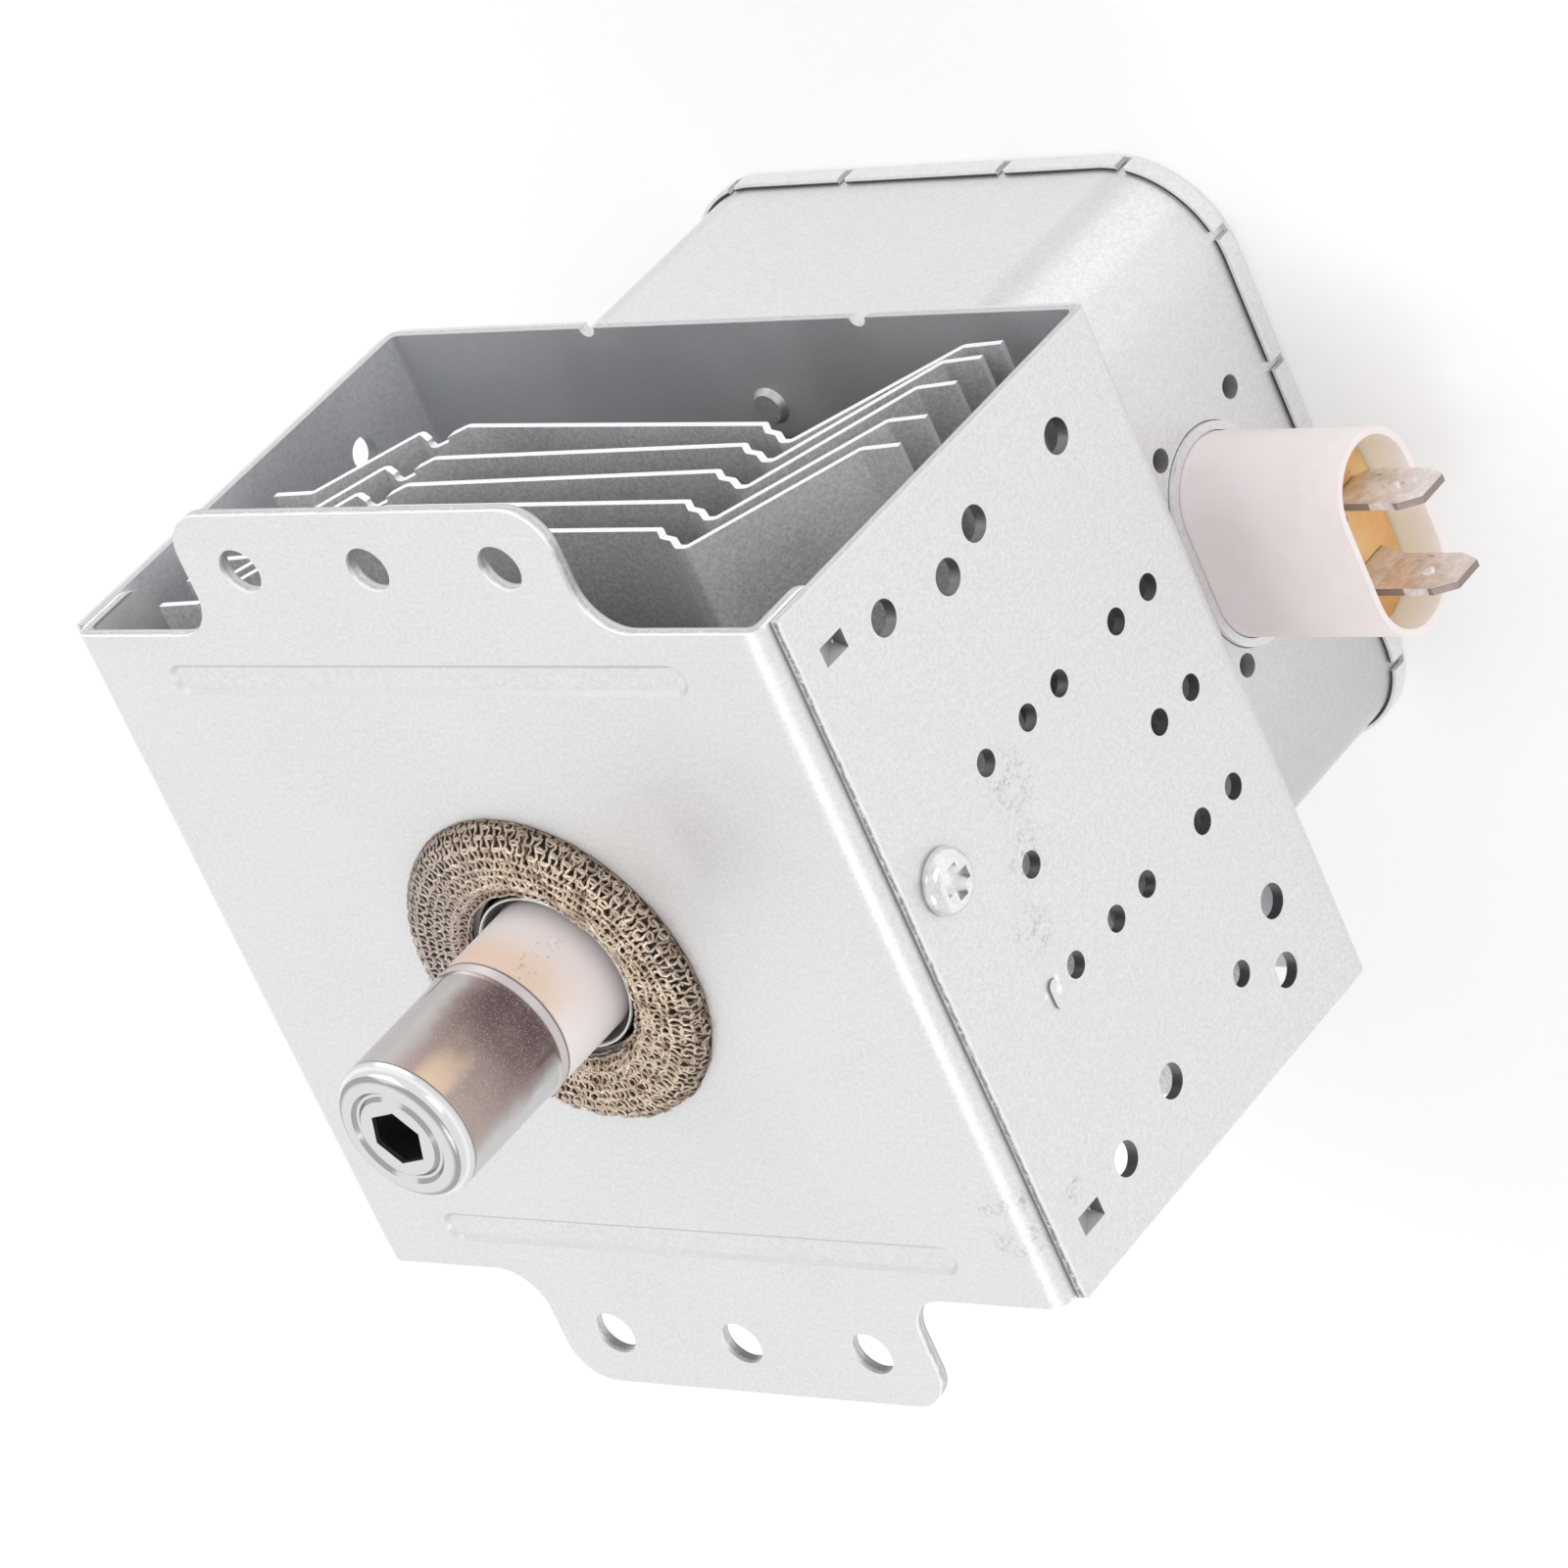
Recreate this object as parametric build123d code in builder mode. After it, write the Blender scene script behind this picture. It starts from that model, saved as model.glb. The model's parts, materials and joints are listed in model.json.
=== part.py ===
from build123d import *
import os
from math import pi

os.makedirs("parts", exist_ok=True)

# Magnetron of a microwave oven, in millimetres.
# The origin lies on the antenna's axis, in the front face of the mounting plate.
# +Z runs out along the antenna, +X across the plate, +Y from one ear to the other.

# Clearances
SEAM = 0.1  # between two folded sheets that lie side by side
FIT = 0.1  # round a pin, a rod or a pressed ring
SLIP = 0.5  # round something that passes freely through a hole

# Anode, magnets and the stack that sets the depth of the yoke
ANODE_RADIUS = 17.4
ANODE_WALL = 1.8
ANODE_LENGTH = 25.2
POLE_SHEET = 1.5
SEAL_WALL = 0.5
MAGNET_RADIUS = 26.0
MAGNET_THICKNESS = 12.1
MAGNET_CHAMFER = 0.8

# Yoke: a folded frame closed by the folded mounting plate
SHEET = 1.3
BEND_RADIUS = 0.9
YOKE_WIDTH = 93.0
YOKE_HEIGHT = 77.8
YOKE_DEPTH = 2 * (SHEET + MAGNET_THICKNESS + SEAL_WALL + POLE_SHEET) + ANODE_LENGTH
WALL_SETBACK = 2.06
FLANGE_DEPTH = 10.3
FLANGE_CORNER = 3.2

# Mounting ears
EAR_WIDTH = 49.2
EAR_LENGTH = 13.85
EAR_CORNER = 4.6
EAR_ROOT = 5.0
EAR_HOLE_RADIUS = 2.5
EAR_HOLE_PITCH = 17.13
EAR_HOLE_EDGE = 6.36  # from the ear's tip to the middle of its holes

# Pressed beads across the mounting plate
BEAD_LENGTH = 68.0
BEAD_WIDTH = 3.5
BEAD_DEPTH = 0.35
BEAD_TAPER = 55.0
BEAD_INSET = 5.1

# Punched stakes that lock the plate's flanges in the side walls
STAKE_INSET = 6.1
STAKE_Z = -6.9
STAKE_WIDTH = 2.1
STAKE_LENGTH = 3.5
STAKE_DEPTH = 1.0
STAKE_TIP = 0.3
STAKE_LEAN = 1.1  # how far the mark's deepest spot lies behind its middle

# Holes in the side walls, placed from the plate's front face
LARGE_HOLE_RADIUS = 1.8
LARGE_HOLES = [
    (31.1, -14.2),
    (29.1, -23.9),
    (31.1, -29.8),
    (31.2, -44.5),
    (-31.5, -14.2),
    (-29.5, -23.9),
    (-31.4, -44.5),
    (-24.5, -46.5),
]
SMALL_HOLE_RADIUS = 1.35
SMALL_ROW_REACH = 11.7
SMALL_ROW_Z = (-18.6, -26.0, -31.65, -42.0, -47.85)
MIDDLE_ROW_Z = (-18.6, -42.0, -47.85)
ODD_HOLE = (-27.5, -38.6)

# Half-pierced lug on the right-hand wall
LUG_REACH = -12.2
LUG_Z = -14.7
LUG_LENGTH = 3.2
LUG_WIDTH = 1.6
LUG_HEIGHT = 0.25

# Pan-head screws through side walls and flanges
SCREW_REACH = 6.2
SCREW_Z = -7.4
SCREW_RADIUS = 1.9
SCREW_LENGTH = 5.2
HEAD_RADIUS = 3.35
HEAD_HEIGHT = 1.7
HEAD_ROUND = 0.85  # share of the head's height that its rim's curve takes
RECESS_LENGTH = 3.6
RECESS_WIDTH = 1.3
RECESS_DEPTH = 1.1
RECESS_TAPER = 18.0

# Notches in the yoke's back edges, and rivets of the filter case
NOTCH_RADIUS = 1.0
NOTCH_X = 18.0
RIVET_CLEARANCE = 1.1  # from the magnet's rim to the rivets' heads
RIVET_TURN = 86.0
RIVET_RADIUS = 1.5
RIVET_HEAD_RADIUS = 2.1
RIVET_HEAD_HEIGHT = 0.7
RIVET_TAPER = 35.0

# Cooling fins, from the rear one to the front one
FIN_SHEET = 0.7
FIN_BEND = 0.6
FIN_PITCH = 4.65
FIN_SHIFT = -0.5  # from the middle of the anode to the middle fin
FIN_LEANS = (-1.7, 1.5, 1.8, 0.0, -0.3)  # degrees each fin is turned about Y
FIN_EDGE_GAP = 0.9
FIN_FIT = 0.15
COLLAR_LENGTH = 2.4
FIN_NOTCH = 0.5
FIN_NOTCH_WIDTH = 2.2
# Bends of the wings: share of the duct between magnet and wall, rise
FIN_LEFT_WING = [(0.672, 12.5), (0.406, 12.1), (0.083, 1.2)]
FIN_RIGHT_WING = [(0.417, -13.4), (0.646, -14.0)]
# Bends beside the collar: distance from its rim, rise
FIN_LEFT_ROOT = [(5.95, 3.1), (3.65, 0.0)]
FIN_RIGHT_ROOT = [(0.25, 0.0), (1.65, 1.3), (3.25, 1.7), (4.85, 3.0), (5.95, 3.0)]

# Antenna side
NECK_RADIUS = 9.0
MAGNET_CLEARANCE = 1.3
NECK_TOP = 0.9
NECK_RIM = 1.3  # how far the seal's rim stands over the ceramic's seat
NECK_LIP = 6.0
CERAMIC_RADIUS = 7.88
CERAMIC_BORE = 5.4
CERAMIC_LENGTH = 10.3
CAP_RADIUS = 7.75
CAP_WALL = 0.5
CAP_LENGTH = 17.3
CAP_LIP = 0.2
CAP_LIP_LENGTH = 1.4
CAP_NOSE = 1.7
CAP_STEP = 0.25
CAP_ROUND = 1.4
CAP_GROOVE_INSET = 2.1
CAP_GROOVE_WIDTH = 1.1
CAP_GROOVE_FLOOR = 0.3
CAP_GROOVE_DEPTH = 0.35
CAP_SOCKET = 5.5
CAP_SOCKET_TURN = 12.0
TUBE_RADIUS = 3.0
TUBE_WALL = 0.8
TUBE_LENGTH = 5.0
PINCH_LENGTH = 4.5
PINCH_WIDTH = 5.2
PINCH_THICKNESS = 1.0
TOP_SEAL_HEIGHT = 4.0
ANTENNA_LEAD_RADIUS = 0.7
ANTENNA_LEAD_X = 7.5

# Knitted wire ring round the antenna
GASKET_CLEARANCE = 0.7
GASKET_WIDTH = 8.15
GASKET_HEIGHT = 2.2
GASKET_OUTER_SLOPE = 3.35
GASKET_INNER_SLOPE = 1.3
GASKET_BULGE = 0.5
GASKET_EDGE = 0.8  # share of the height that is left at the bore

# Vanes, straps and cathode
VANE_COUNT = 10
VANE_HEIGHT = 9.5
VANE_THICKNESS = 1.9
VANE_TIP = 4.6
STRAP_INNER = 5.9
STRAP_OUTER = 9.1
STRAP_WIDTH = 0.6
STRAP_DEPTH = 1.0
POLE_BORE = 4.9
POLE_THROAT = 6.4
POLE_DROP = 6.1
CATHODE_RADIUS = 1.9
WIRE = 0.6
WIRE_TURNS = 5
FRONT_HAT_RADIUS = 3.4
REAR_HAT_RADIUS = 4.0
HAT_THICKNESS = 0.8
HAT_GAP = 0.4
LEAD_RADIUS = 0.75
SIDE_LEAD_Y = -3.0

# Stem on the filter side
STEM_RADIUS = 8.2
STEM_LENGTH = 9.0
STEM_LIP = 1.5  # how far the stem's shell reaches past the yoke
TERMINAL_PLATE = 0.8
TERMINAL_PLATE_RADIUS = 7.4
TERMINAL_GAP = 0.9
LEAD_TAIL = 1.2

# Filter case: a drawn box with a lid whose rim is slit into tabs
CASE_MARGIN = 2.9  # from the rivets' heads to the case's outside
CASE_CORNER = 11.0
CASE_DEPTH = 34.75
CASE_WALL = 0.8
CASE_DRAW = 1.4
LID_SHEET = 0.6
LID_RIM = 1.8
LID_BEND = 0.55
SLIT_WIDTH = 1.0
SLIT_MIDDLE = 10.6
SLIT_OUTER = 26.0

# Capacitor that feeds the current through the right-hand wall of the case
FEED_Z = -74.6
FEED_RADIUS = 6.47
FEED_LENGTH = 22.2
FEED_WALL = 0.73
FEED_PROJECTION = 20.2
FEED_INNER_LENGTH = 10.0
EARTH_PLATE = 1.0
EARTH_PLATE_LENGTH = 31.0
EARTH_PLATE_WIDTH = 20.0
EARTH_PLATE_Z = -76.0
EARTH_HOLE_RADIUS = 1.25
EARTH_HOLE_Y = 12.25
EARTH_HOLE_Z = 6.7
COLLAR_WALL = 0.9
COLLAR_HEIGHT = 0.6
ELEMENT_MARGIN = 1.14
ELEMENT_END_GAP = 1.9
FILL_LEVEL = 5.1  # from the rim of the housing down to the resin

# Blade terminals
BLADE_WIDTH = 6.35
BLADE_THICKNESS = 0.8
BLADE_PROJECTION = 6.9
BLADE_ROOT = 5.0  # length of the blade that is bedded in the resin
BLADE_CHAMFER = 2.4
BLADE_CHAMFER_SIDE = 1.2
BLADE_HOLE_RADIUS = 0.85
BLADE_HOLE_BACK = 4.4
BLADE_JOG = 0.9
BLADE_JOG_LENGTH = 2.5
BLADE_PITCH = 10.0
ROD_RADIUS = 1.0
ROD_TAIL = 3.9

# Filter chokes
CHOKE_Y = 20.0
CHOKE_START = -15.0
CHOKE_LENGTH = 26.0
CHOKE_WIRE = 0.7
CHOKE_TURNS = 10
CORE_RADIUS = 2.9
CORE_LENGTH = 29.0

# Levels along the axis, from the mounting face backwards
magnet_front = -SHEET
seal_front = magnet_front - MAGNET_THICKNESS
pole_front = seal_front - SEAL_WALL
anode_front = pole_front - POLE_SHEET
anode_middle = anode_front - ANODE_LENGTH / 2
anode_back = anode_front - ANODE_LENGTH
pole_back = anode_back - POLE_SHEET
seal_back = pole_back - SEAL_WALL
case_front = -YOKE_DEPTH
case_back = case_front - CASE_DEPTH
lid_back = case_back - LID_SHEET

# Places across the axis
ear_reach = YOKE_HEIGHT / 2 + EAR_LENGTH
ear_hole_reach = ear_reach - EAR_HOLE_EDGE
stake_y = YOKE_HEIGHT / 2 - STAKE_INSET
rivet_reach = MAGNET_RADIUS + RIVET_CLEARANCE + RIVET_HEAD_RADIUS
case_x = rivet_reach + RIVET_HEAD_RADIUS + CASE_MARGIN
wall_x = YOKE_WIDTH / 2

vane_front = anode_middle + VANE_HEIGHT / 2
vane_back = anode_middle - VANE_HEIGHT / 2


def stakes(x):
    """Four-sided punch marks that sink inwards from the planes at plus and minus x."""
    with BuildPart() as marks:
        for side in (1, -1):
            for y in (stake_y, -stake_y):
                foot = Plane(origin=(side * x, y, STAKE_Z), x_dir=(0, 1, 0), z_dir=(side, 0, 0))
                with BuildSketch(foot):
                    Rectangle(STAKE_WIDTH, STAKE_LENGTH)
                with BuildSketch(foot.offset(-STAKE_DEPTH)):
                    with Locations((0, -side * STAKE_LEAN)):
                        Rectangle(STAKE_TIP, STAKE_TIP)
                loft()
    return marks.part


def screw_passage(radius):
    """A round passage across the whole yoke on the screws' axis."""
    with BuildPart() as passage:
        with BuildSketch(Plane.YZ):
            with Locations((SCREW_REACH, SCREW_Z)):
                Circle(radius)
        extrude(amount=YOKE_WIDTH, both=True)
    return passage.part


# Yoke frame: back plate and two side walls, folded from one sheet
yoke_line = wall_x - SHEET / 2
with BuildPart() as yoke_frame:
    with BuildSketch(Plane.XZ) as yoke_section:
        with BuildLine() as yoke_fold:
            FilletPolyline(
                (-yoke_line, -WALL_SETBACK),
                (-yoke_line, -YOKE_DEPTH + SHEET / 2),
                (yoke_line, -YOKE_DEPTH + SHEET / 2),
                (yoke_line, -WALL_SETBACK),
                radius=BEND_RADIUS + SHEET / 2,
            )
        trace(line_width=SHEET)
    extrude(amount=YOKE_HEIGHT / 2, both=True)
    with BuildSketch(Plane.YZ) as wall_holes:
        with Locations(*LARGE_HOLES):
            Circle(LARGE_HOLE_RADIUS)
        with Locations(*[(y, z) for y in (SMALL_ROW_REACH, -SMALL_ROW_REACH) for z in SMALL_ROW_Z]):
            Circle(SMALL_HOLE_RADIUS)
        with Locations(*[(0, z) for z in MIDDLE_ROW_Z], ODD_HOLE):
            Circle(SMALL_HOLE_RADIUS)
    extrude(amount=YOKE_WIDTH, both=True, mode=Mode.SUBTRACT)
    add(screw_passage(SCREW_RADIUS + SLIP / 2), mode=Mode.SUBTRACT)
    with BuildSketch(Plane.XY.offset(case_front)) as back_holes:
        Circle(NECK_RADIUS + SLIP)
        with GridLocations(2 * NOTCH_X, YOKE_HEIGHT, 2, 2):
            Circle(NOTCH_RADIUS)
        with PolarLocations(rivet_reach, 4, start_angle=RIVET_TURN):
            Circle(RIVET_RADIUS + FIT)
    extrude(amount=SHEET, mode=Mode.SUBTRACT)
    add(stakes(wall_x - SHEET))
    add(stakes(wall_x), mode=Mode.SUBTRACT)
    with BuildSketch(Plane.YZ.offset(wall_x)) as lug:
        with Locations((LUG_REACH, LUG_Z)):
            SlotOverall(LUG_LENGTH, LUG_WIDTH)
    extrude(amount=LUG_HEIGHT)
yoke_frame.part.label = "yoke_frame"
export_step(yoke_frame.part, "parts/yoke_frame.step")

# Front plate: mounting face, ears and flanges, folded from one sheet
flange_x = wall_x - SHEET - SEAM
plate_line = flange_x - SHEET / 2
flat_width = 2 * (flange_x - SHEET - BEND_RADIUS)
with BuildPart() as front_plate:
    with BuildSketch(Plane.XZ) as plate_section:
        with BuildLine() as plate_fold:
            FilletPolyline(
                (-plate_line, -FLANGE_DEPTH),
                (-plate_line, -SHEET / 2),
                (plate_line, -SHEET / 2),
                (plate_line, -FLANGE_DEPTH),
                radius=BEND_RADIUS + SHEET / 2,
            )
        trace(line_width=SHEET)
    extrude(amount=YOKE_HEIGHT / 2, both=True)
    flange_tips = front_plate.edges().filter_by(Axis.X).group_by(Axis.Z)[0]
    fillet(flange_tips, FLANGE_CORNER)
    with BuildSketch() as ear_outline:
        Rectangle(flat_width, YOKE_HEIGHT)
        Rectangle(EAR_WIDTH, 2 * ear_reach)
        tips = ear_outline.vertices().filter_by(lambda v: abs(v.Y) > ear_hole_reach)
        fillet(tips, EAR_CORNER)
        roots = ear_outline.vertices().filter_by(
            lambda v: abs(abs(v.X) - EAR_WIDTH / 2) < FIT and abs(v.Y) < ear_hole_reach
        )
        fillet(roots, EAR_ROOT)
    extrude(amount=-SHEET)
    with BuildSketch() as bead_grooves:
        with GridLocations(0, 2 * (YOKE_HEIGHT / 2 - BEAD_INSET), 1, 2):
            SlotOverall(BEAD_LENGTH, BEAD_WIDTH)
    extrude(amount=-BEAD_DEPTH, taper=BEAD_TAPER, mode=Mode.SUBTRACT)
    with BuildSketch(Plane.XY.offset(-SHEET)) as bead_backs:
        with GridLocations(0, 2 * (YOKE_HEIGHT / 2 - BEAD_INSET), 1, 2):
            SlotOverall(BEAD_LENGTH, BEAD_WIDTH)
    extrude(amount=-BEAD_DEPTH, taper=BEAD_TAPER)
    with BuildSketch() as plate_holes:
        Circle(NECK_RADIUS + SLIP)
        with GridLocations(EAR_HOLE_PITCH, 2 * ear_hole_reach, 3, 2):
            Circle(EAR_HOLE_RADIUS)
    extrude(amount=-SHEET, mode=Mode.SUBTRACT)
    add(stakes(flange_x - SHEET))
    add(stakes(flange_x), mode=Mode.SUBTRACT)
    add(screw_passage(SCREW_RADIUS + FIT), mode=Mode.SUBTRACT)
front_plate.part.label = "front_plate"
export_step(front_plate.part, "parts/front_plate.step")

# Screws in the side walls: a domed head with a cross recess, and a shank
with BuildPart() as yoke_screws:
    for side in (1, -1):
        seat = Plane(
            origin=(side * wall_x, SCREW_REACH, SCREW_Z), x_dir=(0, 1, 0), z_dir=(side, 0, 0)
        )
        with BuildSketch(seat) as head_foot:
            Circle(HEAD_RADIUS)
        extrude(amount=HEAD_HEIGHT)
        rim = yoke_screws.edges().filter_by(GeomType.CIRCLE).sort_by(Axis.X)[-1 if side > 0 else 0]
        fillet(rim, HEAD_HEIGHT * HEAD_ROUND)
        with BuildSketch(seat.offset(HEAD_HEIGHT)) as recess:
            Rectangle(RECESS_LENGTH, RECESS_WIDTH)
            Rectangle(RECESS_WIDTH, RECESS_LENGTH)
        extrude(amount=-RECESS_DEPTH, taper=RECESS_TAPER, mode=Mode.SUBTRACT)
        with BuildSketch(seat) as shank:
            Circle(SCREW_RADIUS)
        extrude(amount=-SCREW_LENGTH)
yoke_screws.part.label = "yoke_screws"
export_step(yoke_screws.part, "parts/yoke_screws.step")

# Ring magnets against the two plates
for name, face in (("front_magnet", magnet_front), ("rear_magnet", seal_back)):
    with BuildPart() as magnet:
        with BuildSketch(Plane.XY.offset(face)) as magnet_ring:
            Circle(MAGNET_RADIUS)
            Circle(NECK_RADIUS + MAGNET_CLEARANCE, mode=Mode.SUBTRACT)
        extrude(amount=-MAGNET_THICKNESS)
        outer_rims = magnet.edges().filter_by(GeomType.CIRCLE).sort_by(SortBy.RADIUS)[-2:]
        chamfer(outer_rims, MAGNET_CHAMFER)
    magnet.part.label = name
    export_step(magnet.part, f"parts/{name}.step")

# Pole pieces: iron funnels that lead the field to the cathode
pole_slope_start = POLE_THROAT + POLE_DROP
for name, outside, way in (("front_pole_piece", pole_front, 1), ("rear_pole_piece", pole_back, -1)):
    with BuildPart() as pole_piece:
        with BuildSketch(Plane.XZ) as pole_section:
            with BuildLine() as pole_outline:
                Polyline(
                    (ANODE_RADIUS, outside),
                    (ANODE_RADIUS, outside - way * POLE_SHEET),
                    (pole_slope_start + POLE_SHEET / 2, outside - way * POLE_SHEET),
                    (POLE_THROAT + POLE_SHEET / 2, outside - way * (POLE_DROP + POLE_SHEET)),
                    (POLE_BORE, outside - way * (POLE_DROP + POLE_SHEET)),
                    (POLE_BORE, outside - way * POLE_DROP),
                    (POLE_THROAT, outside - way * POLE_DROP),
                    (pole_slope_start, outside),
                    close=True,
                )
            make_face()
        revolve(axis=Axis.Z)
        if way > 0:
            with BuildSketch(Plane.XY.offset(pole_front)) as lead_passage:
                with Locations((ANTENNA_LEAD_X, 0)):
                    Circle(ANTENNA_LEAD_RADIUS + SLIP)
            extrude(amount=-POLE_DROP - 2 * POLE_SHEET, mode=Mode.SUBTRACT)
    pole_piece.part.label = name
    export_step(pole_piece.part, f"parts/{name}.step")

# Anode block: copper cylinder with its vanes, grooved for the straps
vane_root = ANODE_RADIUS - ANODE_WALL / 2
with BuildPart() as anode_block:
    with BuildSketch(Plane.XY.offset(anode_front)) as anode_ring:
        Circle(ANODE_RADIUS)
        Circle(ANODE_RADIUS - ANODE_WALL, mode=Mode.SUBTRACT)
    extrude(amount=-ANODE_LENGTH)
    with BuildSketch(Plane.XY.offset(vane_front)) as vane_star:
        with PolarLocations((vane_root + VANE_TIP) / 2, VANE_COUNT):
            Rectangle(vane_root - VANE_TIP, VANE_THICKNESS)
    extrude(amount=-VANE_HEIGHT)
    for level, way in ((vane_front, -1), (vane_back, 1)):
        with BuildSketch(Plane.XY.offset(level)) as strap_grooves:
            for radius in (STRAP_OUTER, STRAP_INNER):
                Circle(radius + STRAP_WIDTH / 2 + FIT)
                Circle(radius - STRAP_WIDTH / 2 - FIT, mode=Mode.SUBTRACT)
        extrude(amount=way * STRAP_DEPTH, mode=Mode.SUBTRACT)
anode_block.part.label = "anode_block"
export_step(anode_block.part, "parts/anode_block.step")

# Strap rings: they join every other vane, one pair on each side of the vanes
straps = [
    (STRAP_INNER, vane_front - STRAP_DEPTH),
    (STRAP_OUTER, vane_front - STRAP_DEPTH),
    (STRAP_INNER, vane_back),
    (STRAP_OUTER, vane_back),
]
for number, (radius, level) in enumerate(straps, 1):
    with BuildPart() as strap_ring:
        with BuildSketch(Plane.XY.offset(level)) as strap_section:
            Circle(radius + STRAP_WIDTH / 2)
            Circle(radius - STRAP_WIDTH / 2, mode=Mode.SUBTRACT)
        extrude(amount=STRAP_DEPTH)
    strap_ring.part.label = f"strap_ring_{number}"
    export_step(strap_ring.part, f"parts/strap_ring_{number}.step")

# Cathode: end hats, heater winding and the two leads that carry them
front_hat_level = vane_front + HAT_GAP
rear_hat_level = vane_back - HAT_GAP
with BuildPart() as front_end_hat:
    with BuildSketch(Plane.XY.offset(front_hat_level)) as front_hat_disc:
        Circle(FRONT_HAT_RADIUS)
    extrude(amount=HAT_THICKNESS)
front_end_hat.part.label = "front_end_hat"
export_step(front_end_hat.part, "parts/front_end_hat.step")

with BuildPart() as rear_end_hat:
    with BuildSketch(Plane.XY.offset(rear_hat_level)) as rear_hat_disc:
        Circle(REAR_HAT_RADIUS)
        Circle(LEAD_RADIUS + FIT, mode=Mode.SUBTRACT)
    extrude(amount=-HAT_THICKNESS)
rear_end_hat.part.label = "rear_end_hat"
export_step(rear_end_hat.part, "parts/rear_end_hat.step")

winding_margin = WIRE / 2 + FIT
winding_length = front_hat_level - rear_hat_level - 2 * winding_margin
with BuildPart() as filament:
    with BuildLine() as winding:
        Helix(
            pitch=winding_length / WIRE_TURNS,
            height=winding_length,
            radius=CATHODE_RADIUS,
            center=(0, 0, rear_hat_level + winding_margin),
        )
    with BuildSketch(Plane(origin=winding.line @ 0, z_dir=winding.line % 0)) as wire_section:
        Rectangle(WIRE, WIRE)
    sweep(is_frenet=True)
filament.part.label = "filament"
export_step(filament.part, "parts/filament.step")

stem_front = case_front - STEM_LIP
stem_back = stem_front - STEM_LENGTH
lead_end = stem_back - TERMINAL_PLATE - LEAD_TAIL
with BuildPart() as centre_lead:
    with BuildSketch(Plane.XY.offset(front_hat_level)) as centre_lead_section:
        Circle(LEAD_RADIUS)
    extrude(amount=lead_end - front_hat_level)
centre_lead.part.label = "centre_lead"
export_step(centre_lead.part, "parts/centre_lead.step")

with BuildPart() as side_lead:
    with BuildSketch(Plane.XY.offset(rear_hat_level - HAT_THICKNESS)) as side_lead_section:
        with Locations((0, SIDE_LEAD_Y)):
            Circle(LEAD_RADIUS)
    extrude(amount=lead_end - rear_hat_level + HAT_THICKNESS)
side_lead.part.label = "side_lead"
export_step(side_lead.part, "parts/side_lead.step")

# Antenna seal: flanged shell between the front magnet and the pole piece, with a raised rim
seal_line = NECK_RADIUS - SEAL_WALL / 2
ceramic_foot = NECK_TOP - NECK_RIM
with BuildPart() as antenna_seal:
    with BuildSketch(Plane.XZ) as antenna_seal_section:
        with BuildLine() as antenna_seal_line:
            Polyline(
                (ANODE_RADIUS, pole_front + SEAL_WALL / 2),
                (seal_line, pole_front + SEAL_WALL / 2),
                (seal_line, ceramic_foot - SEAL_WALL / 2),
                (NECK_LIP, ceramic_foot - SEAL_WALL / 2),
            )
        trace(line_width=SEAL_WALL)
        with BuildLine() as seal_rim:
            Polyline(
                (NECK_RADIUS, ceramic_foot - SEAL_WALL),
                (NECK_RADIUS, NECK_TOP - FIT),
                (NECK_RADIUS - FIT, NECK_TOP),
                (NECK_RADIUS - SEAL_WALL / 2, NECK_TOP),
                (CERAMIC_RADIUS + FIT, ceramic_foot),
                (CERAMIC_RADIUS + FIT, ceramic_foot - SEAL_WALL),
                close=True,
            )
        make_face()
    revolve(axis=Axis.Z)
antenna_seal.part.label = "antenna_seal"
export_step(antenna_seal.part, "parts/antenna_seal.step")

# Antenna ceramic: the ring that insulates the antenna
ceramic_top = ceramic_foot + CERAMIC_LENGTH
with BuildPart() as antenna_ceramic:
    with BuildSketch(Plane.XY.offset(ceramic_foot)) as ceramic_ring:
        Circle(CERAMIC_RADIUS)
        Circle(CERAMIC_BORE, mode=Mode.SUBTRACT)
    extrude(amount=CERAMIC_LENGTH)
antenna_ceramic.part.label = "antenna_ceramic"
export_step(antenna_ceramic.part, "parts/antenna_ceramic.step")

# Top seal: stepped cup on the ceramic that holds the exhaust tube
top_seal_rim = CAP_RADIUS + CAP_LIP - CAP_WALL - FIT
top_seal_top = ceramic_top + TOP_SEAL_HEIGHT
with BuildPart() as antenna_top_seal:
    with BuildSketch(Plane.XZ) as top_seal_section:
        with BuildLine() as top_seal_line:
            Polyline(
                (top_seal_rim, ceramic_top + SEAL_WALL / 2),
                (CERAMIC_BORE, ceramic_top + SEAL_WALL / 2),
                (CERAMIC_BORE, top_seal_top - SEAL_WALL / 2),
                (TUBE_RADIUS + FIT, top_seal_top - SEAL_WALL / 2),
            )
        trace(line_width=SEAL_WALL)
    revolve(axis=Axis.Z)
    with BuildSketch(Plane.XY.offset(ceramic_top)) as tube_passage:
        Circle(TUBE_RADIUS + FIT)
    extrude(amount=TOP_SEAL_HEIGHT, mode=Mode.SUBTRACT)
antenna_top_seal.part.label = "antenna_top_seal"
export_step(antenna_top_seal.part, "parts/antenna_top_seal.step")

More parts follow.
